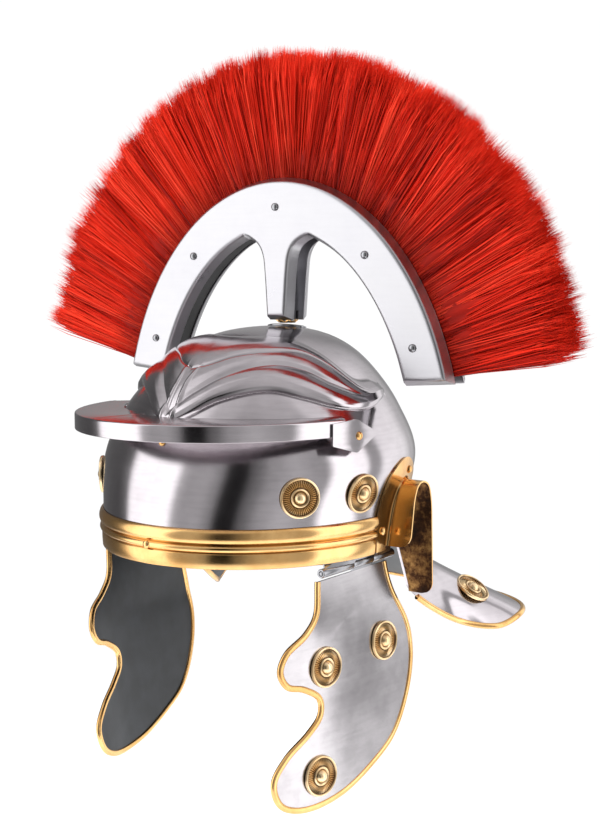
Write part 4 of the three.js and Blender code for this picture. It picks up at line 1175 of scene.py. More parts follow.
def ear_root(y, z):
    """Where the arch's wall meets the skull's side, above and below the rim."""
    turns = np.linspace(92, 150, 200)
    ways = np.linspace(4 / 3, 2, 60)
    way, turn = np.meshgrid(ways, turns, indexing="ij")
    skin = skin_point(turn, way).reshape(-1, 3)
    made = []
    for one_y, one_z in zip(y, z):
        if one_z >= 0:
            made.append(float(bowl_side(one_y, one_z)))
        else:
            gap = np.hypot(skin[:, 1] - one_y, skin[:, 2] - one_z)
            made.append(skin[np.argmin(gap), 0])
    return np.array(made)


def make_ear_guards():
    hem = ear_line(EAR_WALL / 2 + EAR_FILLET, 90)
    leaf = np.stack([LEAF_OUTLINE["along"] * LEAF_LENGTH, LEAF_OUTLINE["rise"] * LEAF_TALL], -1)
    edge = rounded_line(leaf, 90)
    above = hem[hem[:, 1] > 0]
    outline = np.vstack([edge, [above[-1][0], 0], above[::-1], [above[0][0], 0]])
    outline = outline[np.linalg.norm(outline - np.roll(outline, 1, axis=0), axis=1) > 0.05]
    for side in SIDES:
        points, faces, which = plate(outline, bowl_side, GAP, GAP + EAR_WALL, 3)
        finishes, nodes = [look("brass"), look("tarnish")], [f"ear_guard_{side}"]
        shape = mirrored(points, faces, side)
        merged_piece(f"ear_leaf_brass_{side}", *shape, finishes, nodes, "brass", 50, keep=50, which=which)
        flange(side)


def flange(side):
    """The arch's wall: it rises out of the leaf in a small fillet and ends in rounded feet."""
    count = 120
    inner = ear_line(-EAR_WALL / 2, count)
    outer = ear_line(EAR_WALL / 2, count)
    root = ear_root(inner[:, 0], inner[:, 1])
    foot = np.where(
        np.arange(count) < count * 0.4, EAR_TOP * EAR_ARCH["rise"][0], EAR_TOP * EAR_ARCH["rise"][-1]
    )
    height = np.clip(inner[:, 1] - foot, 0, EAR_CORNER)
    far = EAR_OUT - EAR_CORNER + np.sqrt(np.maximum(EAR_CORNER**2 - (EAR_CORNER - height) ** 2, 0))
    shares = np.concatenate([[0], np.linspace(0.02, 0.97, 14), [1]])
    rows_out, rows_in = [], []
    spread = unit(outer - inner)
    for share in shares:
        x = root + 0.4 + (far - root - 0.4) * share
        lift = EAR_FILLET * np.clip(1 - (x - root) / 3.2, 0, 1) ** 2 * (inner[:, 1] > 0)
        rows_out.append(np.column_stack([x, outer + spread * lift[:, None]]))
        rows_in.append(np.column_stack([x, inner + spread * lift[:, None] * 0.9]))
    loop = np.stack([*rows_out, *rows_in[::-1]])
    rings = loop.transpose(1, 0, 2)
    points, faces = swept(rings)
    columns = len(shares) * 2
    under = range(len(shares), columns - 1)
    which = [int(k % columns in under) for k in range(len(faces) - 2)] + [0, 0]
    finishes = [look("brass"), look("tarnish")]
    shape = mirrored(points, faces, side)
    merged_piece(f"ear_arch_brass_{side}", *shape, finishes, [], "brass", 40, reach=0.01, which=which)


# Cheek guards and hinges


def guard_bow(y, z):
    """How far a cheek guard bows outwards; it starts flat at the hinge."""
    out = GUARD_REACH * through(GUARD_BOW, "reach", "out", np.asarray(y, float) / GUARD_REACH)
    share = np.clip(-np.asarray(z, float) / GUARD_BOW_DROP, 0, 1)
    return out * share * share * (3 - 2 * share)


def guard_line(count):
    """Outline of a cheek guard in its own frame."""
    points = np.stack([GUARD_REACH * GUARD_OUTLINE["reach"], -GUARD_LENGTH * GUARD_OUTLINE["drop"]], -1)
    return rounded_line(points, count)


def make_cheek_guards():
    outline = guard_line(260)
    for side in SIDES:
        points, faces, which = plate(outline, guard_bow, -GUARD_PLATE / 2, GUARD_PLATE / 2, 3.2)
        shape = hung(points, side), turned_over(faces, side)
        finishes, nodes = [look("plain"), look("paint")], [f"cheek_guard_{side}"]
        more = {"body": f"cheek_{side}", "which": which}
        merged_piece(f"cheek_steel_{side}", *shape, finishes, nodes, "polished_steel", 40, **more)
        make_cheek_edge(side)


def make_cheek_edge(side):
    """The folded brass strip round the plate's edge, and its closed ends."""
    flat = guard_line(330)
    line = np.column_stack([guard_bow(flat[:, 0], flat[:, 1]), flat])
    normals = side_normal(guard_bow, flat[:, 0], flat[:, 1])
    rings = rolled_edge(line, normals, oval(TRIM_RADIUS, TRIM_RADIUS * 0.8, 14, 0.8))
    points, faces = swept(rings)
    shape, nodes = (hung(points, side), faces), [f"cheek_trim_{side}"]
    merged_piece(
        f"cheek_edge_brass_{side}", *shape, [look("brass")], nodes, "brass", 60, body=f"cheek_{side}"
    )


def barrel(start, end, radius=BARREL_RADIUS, hole=1.9, sides=40):
    """A rolled barrel along Y with softened ends and its bore, centred on the axis."""
    soft = 0.35
    profile = [
        (start, hole),
        (start, radius - soft),
        (start + soft * 0.3, radius - soft * 0.3),
        (start + soft, radius),
        (end - soft, radius),
        (end - soft * 0.3, radius - soft * 0.3),
        (end, radius - soft),
        (end, hole),
    ]
    angle = round_steps(sides)
    rings = [[(r * math.cos(a), y, r * math.sin(a)) for a in angle] for y, r in profile]
    return swept(rings, looped=True)


def joined(*parts):
    """Several shapes as one mesh."""
    points, faces, start = [], [], 0
    for part_points, part_faces in parts:
        points.append(np.asarray(part_points, float))
        faces.extend([[int(k) + start for k in f] for f in part_faces])
        start += len(part_points)
    return np.vstack(points), faces


def block(x0, x1, y0, y1, z0, z1):
    """A box between two corners."""
    corners = [(x, y, z) for x in (x0, x1) for y in (y0, y1) for z in (z0, z1)]
    faces = [[0, 1, 3, 2], [4, 6, 7, 5], [0, 4, 5, 1], [2, 3, 7, 6], [0, 2, 6, 4], [1, 5, 7, 3]]
    return np.array(corners, float), faces


def make_hinges():
    for side in SIDES:
        finish, slot = [look("bright")], "bright_steel"
        front = barrel(HINGE_FRONT, KNUCKLE_FRONT - KNUCKLE_PLAY)
        points, faces = joined(front, barrel(KNUCKLE_BACK + KNUCKLE_PLAY, HINGE_BACK))
        shape = mirrored(points + (HINGE_X, 0, HINGE_Z), faces, side)
        merged_piece(f"hinge_barrels_{side}", *shape, finish, [], slot, 35, reach=0.001)
        make_hinge_leaf(side)
        points, faces = barrel(HINGE_FRONT, HINGE_BACK, PIN_RADIUS, 0.02, 24)
        shape = mirrored(points + (HINGE_X, 0, HINGE_Z), faces, side)
        new_piece(f"hinge_pin_steel_{side}", *shape, finish, "root", [f"hinge_pin_{side}"], slot)
        tongue = block(-0.7, 0.7, KNUCKLE_FRONT + 0.3, KNUCKLE_BACK - 0.3, -9.4, -1.9)
        middle = barrel(KNUCKLE_FRONT + KNUCKLE_PLAY, KNUCKLE_BACK - KNUCKLE_PLAY)
        points, faces = joined(middle, tongue)
        shape = hung(points, side), turned_over(faces, side)
        more = {"body": f"cheek_{side}", "reach": 0.001}
        merged_piece(f"hinge_knuckle_{side}", *shape, finish, [], slot, 35, **more)


def make_hinge_leaf(side):
    """The fixed leaf: it leaves the bowl's inside and bends down to the barrels."""
    def surface(y, z):
        share = np.clip((-1 - np.asarray(z, float)) / 4, 0, 1)
        upper = bowl_side(y, z) - PLATE - 2.3
        return upper + (HINGE_X + 1.6 - upper) * share

    front, back = HINGE_FRONT + 3, HINGE_BACK - 5
    low, top = HINGE_Z + 2.0, HINGE_LEAF_TALL
    clear = BARREL_RADIUS + 0.8
    corners = np.array(
        [
            (front, low),
            (KNUCKLE_FRONT, low),
            (KNUCKLE_FRONT, HINGE_Z + clear),
            (KNUCKLE_BACK, HINGE_Z + clear),
            (KNUCKLE_BACK, low),
            (back, low),
            (back, top),
            (front, top),
        ]
    )
    outline = filleted(corners, (0.3, 0.5, 0.8, 0.8, 0.5, 0.3, 4, 4), 4)
    points, faces, _ = plate(outline, surface, -0.2, 1.2, 4)
    points, faces = mirrored(points, faces, side)
    new_piece(
        f"hinge_leaf_steel_{side}",
        points,
        faces,
        [look("bright")],
        "root",
        [f"hinge_leaf_{side}"],
        "bright_steel",
    )


# Rosettes and rivets


def rosette_shape():
    """A stamped disc: raised rim, forty-six flutes, a ring and a boss, with painted shade in its valleys
    and flutes.
    """
    flutes = 46
    sides = flutes * 4
    # Rows: radius, rise, flute depth and painted shade; the last column darkens the valleys beside the rim,
    # the ring and the boss
    rows = [
        (14.0, 0.0, 0.0, 0.0),
        (14.0, 1.0, 0.0, 0.0),
        (13.7, 1.8, 0.0, 0.0),
        (13.1, 2.1, 0.0, 0.0),
        (12.5, 1.8, 0.0, 0.4),
        (12.1, 1.0, 0.0, 1.0),
        (11.7, 1.5, 1.0, 0.1),
        (9.6, 1.9, 1.2, 0.05),
        (7.4, 1.8, 1.0, 0.1),
        (6.9, 1.0, 0.0, 1.0),
        (6.5, 1.9, 0.0, 0.2),
        (5.9, 2.2, 0.0, 0.0),
        (5.2, 1.9, 0.0, 0.3),
        (4.6, 1.4, 0.0, 0.9),
        (3.9, 2.2, 0.0, 0.2),
        (3.3, 3.4, 0.0, 0.0),
        (2.3, 4.2, 0.0, 0.0),
        (1.1, 4.6, 0.0, 0.0),
    ]
    angle = round_steps(sides)
    groove = 0.5 - 0.5 * np.cos(angle * flutes)
    points, tarnish_and_shade = [], []
    for radius, rise, depth, shade in rows:
        height = rise - depth * groove
        points.append(np.stack([radius * np.cos(angle), radius * np.sin(angle), height], -1))
        # Painted shade: each row's amount and the flutes' grooves darken towards the stamped brass's deep
        # colour
        tarnish_and_shade.append(np.clip(shade + (1.0 if depth else 0) * groove**1.5, 0, 1))
    return *domed(points, 4.7), np.concatenate([*tarnish_and_shade, [0.0]])


def rivet_shape():
    """A hammered dome on a short skirt."""
    rows = [(1.0, 0.0), (1.0, 0.25), (0.95, 0.75), (0.8, 1.25), (0.58, 1.65), (0.3, 1.9)]
    sides = 20
    angle = round_steps(sides)
    points = [
        np.stack([3 * r * np.cos(angle), 3 * r * np.sin(angle), np.full(sides, h)], -1) for r, h in rows
    ]
    return *domed(points, 2.0), np.zeros(len(rows) * sides + 1)


def new_tree(name, **inputs):
    """A node tree that takes and gives geometry and has more named inputs, and its input node."""
    tree = bpy.data.node_groups.new(name, "GeometryNodeTree")
    for label, kind in {"Geometry": "Geometry", **inputs}.items():
        tree.interface.new_socket(label, in_out="INPUT", socket_type="NodeSocket" + kind)
    tree.interface.new_socket("Geometry", in_out="OUTPUT", socket_type="NodeSocketGeometry")
    return tree, add(tree, "NodeGroupInput")


def realized(tree, given, instances):
    """Ends a tree: its instances become one painted mesh."""
    solid = add(tree, "GeometryNodeRealizeInstances", {"Geometry": instances})
    finish = given.outputs["Finish"]
    painted = add(tree, "GeometryNodeSetMaterial", {"Geometry": solid, "Material": finish})
    add(tree, "NodeGroupOutput", {0: painted})
    return tree


def placing_tree(name):
    """Stands a stamping on each point, its foot square to the surface below."""
    tree, given = new_tree(name, Stamping="Object", Finish="Material", Size="Float")
    stamping = add(tree, "GeometryNodeObjectInfo", {"Object": given.outputs["Stamping"]})
    facing = add(tree, "GeometryNodeInputNamedAttribute", {"Name": "facing"}, data_type="FLOAT_VECTOR")
    turned = add(tree, "FunctionNodeAlignRotationToVector", {"Vector": facing}, axis="Z")
    size = add(tree, "GeometryNodeInputNamedAttribute", {"Name": "size"}, data_type="FLOAT")
    scale = add(tree, "ShaderNodeMath", {0: size, 1: given.outputs["Size"]}, operation="MULTIPLY")
    points = add(tree, "GeometryNodeMeshToPoints", {"Mesh": given.outputs["Geometry"]})
    stood = add(
        tree,
        "GeometryNodeInstanceOnPoints",
        {
            "Points": points,
            "Instance": stamping.outputs["Geometry"],
            "Rotation": turned,
            "Scale": scale,
        },
    )
    return realized(tree, given, stood)


def run_tree(name, base, tree, values, body, replaces, slot, sharp=40):
    """Runs a tree on a base object and keeps its result as a plain piece."""
    modifier = base.modifiers.new(tree.name, "NODES")
    modifier.node_group = tree
    names = {item.name: item.identifier for item in tree.interface.items_tree if item.in_out == "INPUT"}
    for label, value in values.items():
        modifier[names[label]] = value
    graph = bpy.context.evaluated_depsgraph_get()
    mesh = bpy.data.meshes.new_from_object(base.evaluated_get(graph))
    base.modifiers.clear()
    old = base.data
    base.data = mesh
    bpy.data.meshes.remove(old)
    base.name = name
    mesh.name = name
    if sharp:
        smooth(base, sharp)
    mount(base, body, replaces, slot)
    return base


def stand_on(name, shape, places, finish, body, replaces, slot):
    """Sets one stamping on several places, each (point, normal, size)."""
    points, faces, tarnish_and_shade = shape
    template = new_piece(name + "_stamping", points, faces, [finish], None)
    set_attribute(template, "tarnish_and_shade", tarnish_and_shade)
    base = new_piece(name, [p[0] for p in places], [], [finish], None)
    facing = base.data.attributes.new("facing", "FLOAT_VECTOR", "POINT")
    facing.data.foreach_set("vector", np.array([p[1] for p in places], dtype=np.float32).ravel())
    set_attribute(base, "size", [p[2] for p in places])
    tree = bpy.data.node_groups.get("set_stampings") or placing_tree("set_stampings")
    values = {"Stamping": template, "Finish": finish, "Size": 1.0}
    run_tree(name, base, tree, values, body, replaces, slot)
    bpy.data.objects.remove(template)


def on_side(surface, y, z, lift, side):
    """A place on the skull's side: its point, its normal and a size of one."""
    y, z = np.array([float(y)]), np.array([float(z)])
    normal = side_normal(surface, y, z)[0]
    point = np.array([surface(y, z)[0], y[0], z[0]]) + normal * lift
    return point * SIDES[side], normal * SIDES[side], 1.0


def make_rosettes():
    shape = rosette_shape()
    root, nodes = [], []
    for side in SIDES:
        root += [on_side(bowl_side, y, z, 0.4, side) for y, z in SKULL_ROSETTES]
        point, normal = skin_point(*NECK_ROSETTE), skin_normal(*NECK_ROSETTE)
        root.append(((point - normal * 0.6) * SIDES[side], normal * SIDES[side], 1.0))
        nodes += [f"bowl_rosette_front_{side}", f"bowl_rosette_back_{side}", f"neck_rosette_{side}"]
    stand_on("skull_rosettes", shape, root, look("stamped"), "root", nodes, "brass")
    for side in SIDES:
        places = []
        for reach, drop in GUARD_ROSETTES:
            y, z = np.array([GUARD_REACH * reach]), np.array([-GUARD_LENGTH * drop])
            normal = side_normal(guard_bow, y, z)[0]
            point = np.array([guard_bow(y, z)[0], y[0], z[0]]) + normal * (GUARD_PLATE / 2 + 0.3)
            ends = hung([point, point + normal], side)
            places.append((ends[0], ends[1] - ends[0], 1.0))
        nodes = [f"cheek_rosette_{side}_{k}" for k in (1, 2, 3)]
        stand_on(f"cheek_rosettes_{side}", shape, places, look("stamped"), f"cheek_{side}", nodes, "brass")


def make_rivets():
    shape = rivet_shape()
    places, nodes = [], ["brow_band_rivet", "peak_stud"]
    places.append(
        (np.array((0, -RIM_FRONT - 3.0, BAND_LOW + 0.51 * BAND_HEIGHT)), np.array((0, -1, 0)), 0.95)
    )
    way = float((90 - tilt_at(PEAK_LEVEL - 1.5 * PEAK_FLANGE)) / (90 - SHOULDER_TILT))
    normal = skin_normal(0, way)
    places.append((skin_point(0, way) + normal * 0.3, normal, 1.0))
    for side in SIDES:
        lift = GAP + EAR_WALL + 0.2
        places += [on_side(bowl_side, y, z, lift, side) for y, z in EAR_RIVETS]
        middle = (END_PLATE_FRONT + END_PLATE_BACK) / 2 + 2
        places.append(on_side(end_plate_side, middle, END_PLATE_MIDDLE, GAP + PEAK_PLATE, side))
        nodes += [f"ear_rivet_low_{side}", f"ear_rivet_high_{side}", f"peak_end_rivet_{side}"]
    stand_on("brass_rivets", shape, places, look("brass"), "root", nodes, "brass")
    heads = []
    for turn in CREST_RIVET_TURNS:
        x, z = arch_point(np.array([turn]), -CREST_RIVET_IN)[0]
        heads.append((np.array((x, CREST_FACE - 0.2, z)), np.array((0, -1, 0)), 1.0))
        heads.append((np.array((x, 2 * CREST_MIDDLE - CREST_FACE + 0.2, z)), np.array((0, 1, 0)), 1.0))
    nodes = [f"crest_rivet_{k + 1}" for k in range(len(CREST_RIVET_TURNS))]
    stand_on("crest_rivets", shape, heads, look("bright"), "root", nodes, "bright_steel")


# Crest holder


def arch_point(turn, out):
    """A place on the crest's arch, moved out by an amount."""
    cosine, sine = np.cos(np.radians(turn)), np.sin(np.radians(turn))
    normal = unit(np.stack([cosine / ARCH_HALF_WIDTH, sine / ARCH_RISE], -1))
    point = np.stack([ARCH_HALF_WIDTH * cosine, ARCH_CENTRE + ARCH_RISE * sine], -1)
    return point + normal * np.asarray(out, float)[..., None]


def cover_outline():
    """Outline of the crest holder's sheets: the arch, then the two sides of the stem."""
    def stem_side(way):
        return np.stack([way * STEM_HALF * STEM["half"], STEM_FOOT + STEM_TALL * STEM["rise"]], -1)

    outer = arch_point(np.linspace(ARCH_END, 180 - ARCH_END, 180), 0)
    left = arch_point(np.linspace(180 - ARCH_INNER_END, 180 - ARCH_STEM_TURN, 9), -ARCH_BAND)
    right = arch_point(np.linspace(ARCH_STEM_TURN, ARCH_INNER_END, 9), -ARCH_BAND)
    inner_left = rounded_line(np.vstack([left, stem_side(-1)[::-1]]), 130)
    inner_right = rounded_line(np.vstack([stem_side(1), right]), 130)
    return np.vstack([outer, inner_left, inner_right])


def grown(outline, amount):
    """Moves each corner of a closed outline out along its own bisector."""
    before, after = np.roll(outline, 1, axis=0), np.roll(outline, -1, axis=0)
    into, away = unit(outline - before), unit(after - outline)
    normal_in = np.stack([into[:, 1], -into[:, 0]], -1)
    normal_out = np.stack([away[:, 1], -away[:, 0]], -1)
    bisector = unit(normal_in + normal_out)
    stretch = 1 / np.maximum((bisector * normal_in).sum(1), 0.5)
    return outline + bisector * (amount * stretch)[:, None]


def stacked(outline, levels):
    """A closed shape from copies of an outline along Y, each grown by its own amount."""
    rings = []
    for amount, y in levels:
        flat = grown(outline, amount)
        rings.append(np.column_stack([flat[:, 0], np.full(len(flat), y), flat[:, 1]]))
    points, faces = swept(rings, capped=False)
    for level, turn in ((0, 1), (len(levels) - 1, -1)):
        flat = grown(outline, levels[level][0])
        for face in tessellate_polygon([[Vector((p[0], p[1], 0)) for p in flat]]):
            faces.append([level * len(outline) + k for k in face][::turn])
    return points, faces


def make_crest_holder():
    outline = cover_outline()
    radius = 3.2
    angles = np.radians((0, 15, 30, 45, 60, 74))
    levels = [(-1.8, 0)] + [(radius * math.sin(a) - 0.6, radius * (1 - math.cos(a))) for a in angles]
    levels += [
        (CREST_FLARE - 0.5, CREST_COVER - 1.4),
        (CREST_FLARE, CREST_COVER - 0.5),
        (CREST_FLARE - 0.25, CREST_COVER),
    ]
    for name, way, node in (
        ("crest_front_steel", -1, "crest_cover"), ("crest_back_steel", 1, "crest_back")
    ):
        placed_levels = [
            (grow, CREST_MIDDLE + way * (CREST_MIDDLE - CREST_FACE - depth)) for grow, depth in levels
        ]
        shape = stacked(outline, placed_levels)
        merged_piece(name, *shape, [look("satin")], [node], "bright_steel", 30, reach=0.005)
    half = CREST_SLOT / 2 - GAP
    outer = arch_point(np.linspace(ARCH_END, 180 - ARCH_END, 120), CREST_FLARE - 1)
    inner = arch_point(np.linspace(180 - ARCH_INNER_END, ARCH_INNER_END, 110), 1 - ARCH_BAND - CREST_FLARE)
    front, back, soft = CREST_MIDDLE - half, CREST_MIDDLE + half, 0.5
    levels = [(-soft, front), (0, front + soft), (0, back - soft), (-soft, back)]
    shape = stacked(np.vstack([outer, inner]), levels)
    merged_piece(
        "crest_core_wood", *shape, [look("wood")], ["crest_block"], "painted_wood", 35, reach=0.005
    )


# Crest fitting


def turned_shape(rows, middle, sides):
    """A closed shape of rings (radius across X, radius along Y, height) about an upright axis."""
    angle = round_steps(sides)
    rings = [
        [(middle[0] + a * math.cos(t), middle[1] + b * math.sin(t), z) for t in angle] for a, b, z in rows
    ]
    return swept(rings)


def make_crest_fitting():
    turns = np.linspace(0, 360, 48, endpoint=False)
    shares = np.linspace(0, 1, 8)
    top, low = [], []
    for share in shares:
        x = BASE_HALF_WIDTH * share * np.sin(np.radians(turns))
        y = CREST_MIDDLE + BASE_HALF_LENGTH * share * np.cos(np.radians(turns))
        z = bowl_top(x, y)
        top.append(np.column_stack([x, y, z + GAP + BASE_PLATE - (0.5 if share == 1 else 0)]))
        low.append(np.column_stack([x, y, z + GAP]))
    rings = [*low, *top[::-1]]
    shape, finish = swept(rings, capped=False), [look("bright")]
    merged_piece("crest_base_steel", *shape, finish, ["crest_base_plate"], "bright_steel", 40)
    seat = BOWL_HEIGHT + GAP + BASE_PLATE
    star = star_washer(seat + 0.2)
    new_piece("crest_star_brass", *star, [look("brass")], "root", ["crest_washer"], "brass")
    half = CREST_SLOT / 2 - GAP
    post = block(-5, 5, CREST_MIDDLE - half, CREST_MIDDLE + half, seat + 9, 198)
    legs = [
        block(x0, x1, CREST_MIDDLE - 4.5, CREST_MIDDLE + 4.5, seat + 0.3, seat + 9.2)
        for x0, x1 in ((-5, -2.6), (2.6, 5))
    ]
    dome = turned_shape(
        [
            (2.4, 2.4, seat + 0.3),
            (2.4, 2.4, seat + 3.4),
            (2.2, 2.2, seat + 4.6),
            (1.3, 1.3, seat + 5.6),
            (0.3, 0.3, seat + 5.9),
        ],
        (0, CREST_MIDDLE),
        20,
    )
    shape = joined(post, *legs, dome)
    merged_piece("crest_fork_steel", *shape, finish, ["crest_fitting"], "bright_steel", 35, reach=0.001)


def bowl_top(x, y):
    """Height of the bowl near its apex."""
    turns = np.linspace(-180, 180, 121)
    ways = np.linspace(0, 0.4, 60)
    way, turn = np.meshgrid(ways, turns, indexing="ij")
    skin = skin_point(turn, way).reshape(-1, 3)
    made = []
    for one_x, one_y in zip(x, y):
        gap = np.hypot(skin[:, 0] - one_x, skin[:, 1] - one_y)
        near = np.argsort(gap)[:4]
        made.append(np.average(skin[near, 2], weights=1 / (gap[near] + 0.05)))
    return np.array(made)


def star_washer(seat):
    """A spring washer with its teeth bent up."""
    teeth = 8
    angle = round_steps(teeth * 4)
    tooth = np.tile([1.0, 0.55, 0.0, 0.55], teeth)
    outer = np.stack(
        [(6.2 + 2.6 * tooth) * np.cos(angle), CREST_MIDDLE + (6.2 + 2.6 * tooth) * np.sin(angle)], -1
    )
    inner = np.stack([5.6 * np.cos(angle), CREST_MIDDLE + 5.6 * np.sin(angle)], -1)
    rings = [
        np.column_stack([inner, np.full(len(angle), seat)]),
        np.column_stack([outer, seat + 2.2 * tooth]),
        np.column_stack([outer, seat + 0.8 + 2.2 * tooth]),
        np.column_stack([inner, np.full(len(angle), seat + 0.8)]),
    ]
    return swept(rings, looped=True)


# Crest hair


def hair_place(share, out, half_share):
    """A place in the fan: share round the arch, out from the arch to the tips, and across."""
    turn = ARCH_END + (180 - 2 * ARCH_END) * share
    aim = np.radians(HAIR_END + (180 - HAIR_END - HAIR_END_RIGHT) * share)
    root = arch_point(turn, CREST_FLARE - 3)
    tip = np.stack([HAIR_RADIUS * np.cos(aim), HAIR_CENTRE + HAIR_RADIUS * np.sin(aim)], -1)
    at = root + (tip - root) * np.asarray(out, float)[..., None]
    width = np.interp(out, (0, 0.04, 0.15, 0.85, 1), (0.28, 0.3, 0.62, 0.95, 0.9)) * HAIR_HALF
    return np.stack([at[..., 0], CREST_MIDDLE + width * half_share, at[..., 1]], -1)


def strand():
    """One bristle of unit length along Z: three-sided, bowed a little and drawn to a point."""
    rows = ((1.0, 0.0, 0.0), (0.85, 0.78, 5.0))
    points, reach = [], []
    for radius, z, bow in rows:
        for k in range(3):
            angle = 2 * math.pi * k / 3
            points.append((radius * math.cos(angle) + bow, radius * math.sin(angle), z))
            reach.append(z)
    points.append((0.0, 0.0, 1.0))
    reach.append(1.0)
    faces = [[k, (k + 1) % 3, 3 + (k + 1) % 3, 3 + k] for k in range(3)]
    faces += [[3 + k, 3 + (k + 1) % 3, 6] for k in range(3)]
    return np.array(points), faces, reach


def bristle_tree():
    """Plants bristles over a strip, each leaning its own way, and keeps its shade."""
    amounts = dict.fromkeys(("Density", "Thickness", "Stray", "Clump", "Locks", "Wave"), "Float")
    tree, given = new_tree("plant_bristles", Bristle="Object", Finish="Material", **amounts, Seed="Int")
    seed = given.outputs["Seed"]
    planted = add(
        tree,
        "GeometryNodeDistributePointsOnFaces",
        {"Mesh": given.outputs["Geometry"], "Density": given.outputs["Density"], "Seed": seed},
    )
    reach = add(tree, "GeometryNodeInputNamedAttribute", {"Name": "reach_to"}, data_type="FLOAT_VECTOR")
    here = add(tree, "GeometryNodeInputPosition")
    along = add(tree, "ShaderNodeVectorMath", {0: reach, 1: here}, operation="SUBTRACT")
    length = add(tree, "ShaderNodeVectorMath", {0: along}, operation="LENGTH")
    lock = add(tree, "ShaderNodeTexVoronoi", {"Vector": here, "Scale": given.outputs["Locks"]})
    kind = add(tree, "ShaderNodeSeparateXYZ", {0: lock.outputs["Color"]})
    inwards = add(
        tree,
        "ShaderNodeVectorMath",
        {0: lock.outputs["Position"], 1: here},
        operation="SUBTRACT",
    )
    gathered = add(
        tree,
        "ShaderNodeVectorMath",
        {0: inwards, "Scale": given.outputs["Clump"]},
        operation="SCALE",
    )
    waves = add(tree, "ShaderNodeTexNoise", {"Vector": here, "Scale": per(22), "Detail": 1.0})
    centred = add(
        tree, "ShaderNodeVectorMath", {0: waves.outputs["Color"], 1: (0.5, 0.5, 0.5)}, operation="SUBTRACT"
    )
    waved = add(
        tree,
        "ShaderNodeVectorMath",
        {0: centred, "Scale": given.outputs["Wave"]},
        operation="SCALE",
    )
    stray = add(
        tree,
        "FunctionNodeRandomValue",
        {0: (-1, -1, -1), 1: (1, 1, 1), "Seed": seed},
        data_type="FLOAT_VECTOR",
    )
    strayed = add(
        tree,
        "ShaderNodeVectorMath",
        {0: stray, "Scale": given.outputs["Stray"]},
        operation="SCALE",
    )
    toward = along
    for shift in (gathered, waved, strayed):
        toward = add(tree, "ShaderNodeVectorMath", {0: toward, 1: shift}, operation="ADD")
    turned = add(tree, "FunctionNodeAlignRotationToVector", {"Vector": toward}, axis="Z")
    roll = add(
        tree,
        "FunctionNodeRandomValue",
        {0: (0, 0, 0), 1: (0, 0, 6.28), "Seed": 14},
        data_type="FLOAT_VECTOR",
    )
    rolled = add(
        tree,
        "FunctionNodeRotateRotation",
        {0: turned, 1: roll},
        rotation_space="LOCAL",
    )
    own_cut = add(tree, "FunctionNodeRandomValue", {2: 0.9, 3: 1.03, "Seed": 11}, data_type="FLOAT")
    lock_cut = add(tree, "ShaderNodeMapRange", {"Value": kind, "To Min": 0.94, "To Max": 1.0})
    both_cut = add(tree, "ShaderNodeMath", {0: own_cut.outputs[1], 1: lock_cut}, operation="MULTIPLY")
    long = add(tree, "ShaderNodeMath", {0: length.outputs["Value"], 1: both_cut}, operation="MULTIPLY")
    thick = add(tree, "FunctionNodeRandomValue", {2: 0.75, 3: 1.25, "Seed": 12}, data_type="FLOAT")
    wide = add(
        tree, "ShaderNodeMath", {0: thick.outputs[1], 1: given.outputs["Thickness"]}, operation="MULTIPLY"
    )
    scale = add(tree, "ShaderNodeCombineXYZ", {0: wide, 1: wide, 2: long})
    bristle = add(tree, "GeometryNodeObjectInfo", {"Object": given.outputs["Bristle"]})
    stood = add(
        tree,
        "GeometryNodeInstanceOnPoints",
        {
            "Points": planted.outputs["Points"],
            "Instance": bristle.outputs["Geometry"],
            "Rotation": rolled,
            "Scale": scale,
        },
    )
    own = add(tree, "FunctionNodeRandomValue", {2: 0.0, 3: 1.0, "Seed": 13}, data_type="FLOAT")
    blend = add(
        tree, "ShaderNodeMix", {"Factor": 0.5, 2: own.outputs[1], 3: kind.outputs[1]}, data_type="FLOAT"
    )
    shaded = add(
        tree,
        "GeometryNodeStoreNamedAttribute",
        {"Geometry": stood, "Name": "shade", "Value": blend},
        data_type="FLOAT",
        domain="INSTANCE",
    )
    return realized(tree, given, shaded)


def make_hair():
    helmet = bpy.context.scene.helmet
    make_hair_core()
    points, faces, reach = strand()
    bristle = new_piece("bristle", points / MM, faces, [look("bristle")], None, sharp=80)
    # The reach runs from the root to the tip; the bristle material uses it for painted shade, darkest at
    # the root
    set_attribute(bristle, "reach", reach)
    tree = bristle_tree()
    parts, rows, columns = 4, 40, 9
    for part in range(parts):
        shares = np.linspace(part / parts, (part + 1) / parts, rows)
        halves = np.linspace(-1, 1, columns)
        share, half = np.meshgrid(shares, halves, indexing="ij")
        low = hair_place(share, np.zeros_like(share), half)
        high = hair_place(share, np.ones_like(share), half * HAIR_TIP_SHARE)
        base = new_piece(
            f"hair_{part + 1}", low.reshape(-1, 3), grid_faces(rows, columns), [look("bristle")], None
        )
        layer = base.data.attributes.new("reach_to", "FLOAT_VECTOR", "POINT")
        layer.data.foreach_set("vector", (high.reshape(-1, 3) * MM).astype(np.float32).ravel())
        area = sum(p.area for p in base.data.polygons)
        values = {
            "Bristle": bristle,
            "Finish": look("bristle"),
            "Density": helmet.bristle_count / parts / area,
            "Thickness": helmet.bristle_thickness / 2,
            "Stray": 0.006,
            "Clump": 1.3,
            "Locks": per(5),
            "Wave": 0.03,
            "Seed": part + 1,
        }
        run_tree(f"crest_bristles_{part + 1}", base, tree, values, "root", [], "red_bristle", None)
        base.data.shade_smooth()
    bpy.data.objects.remove(bristle)


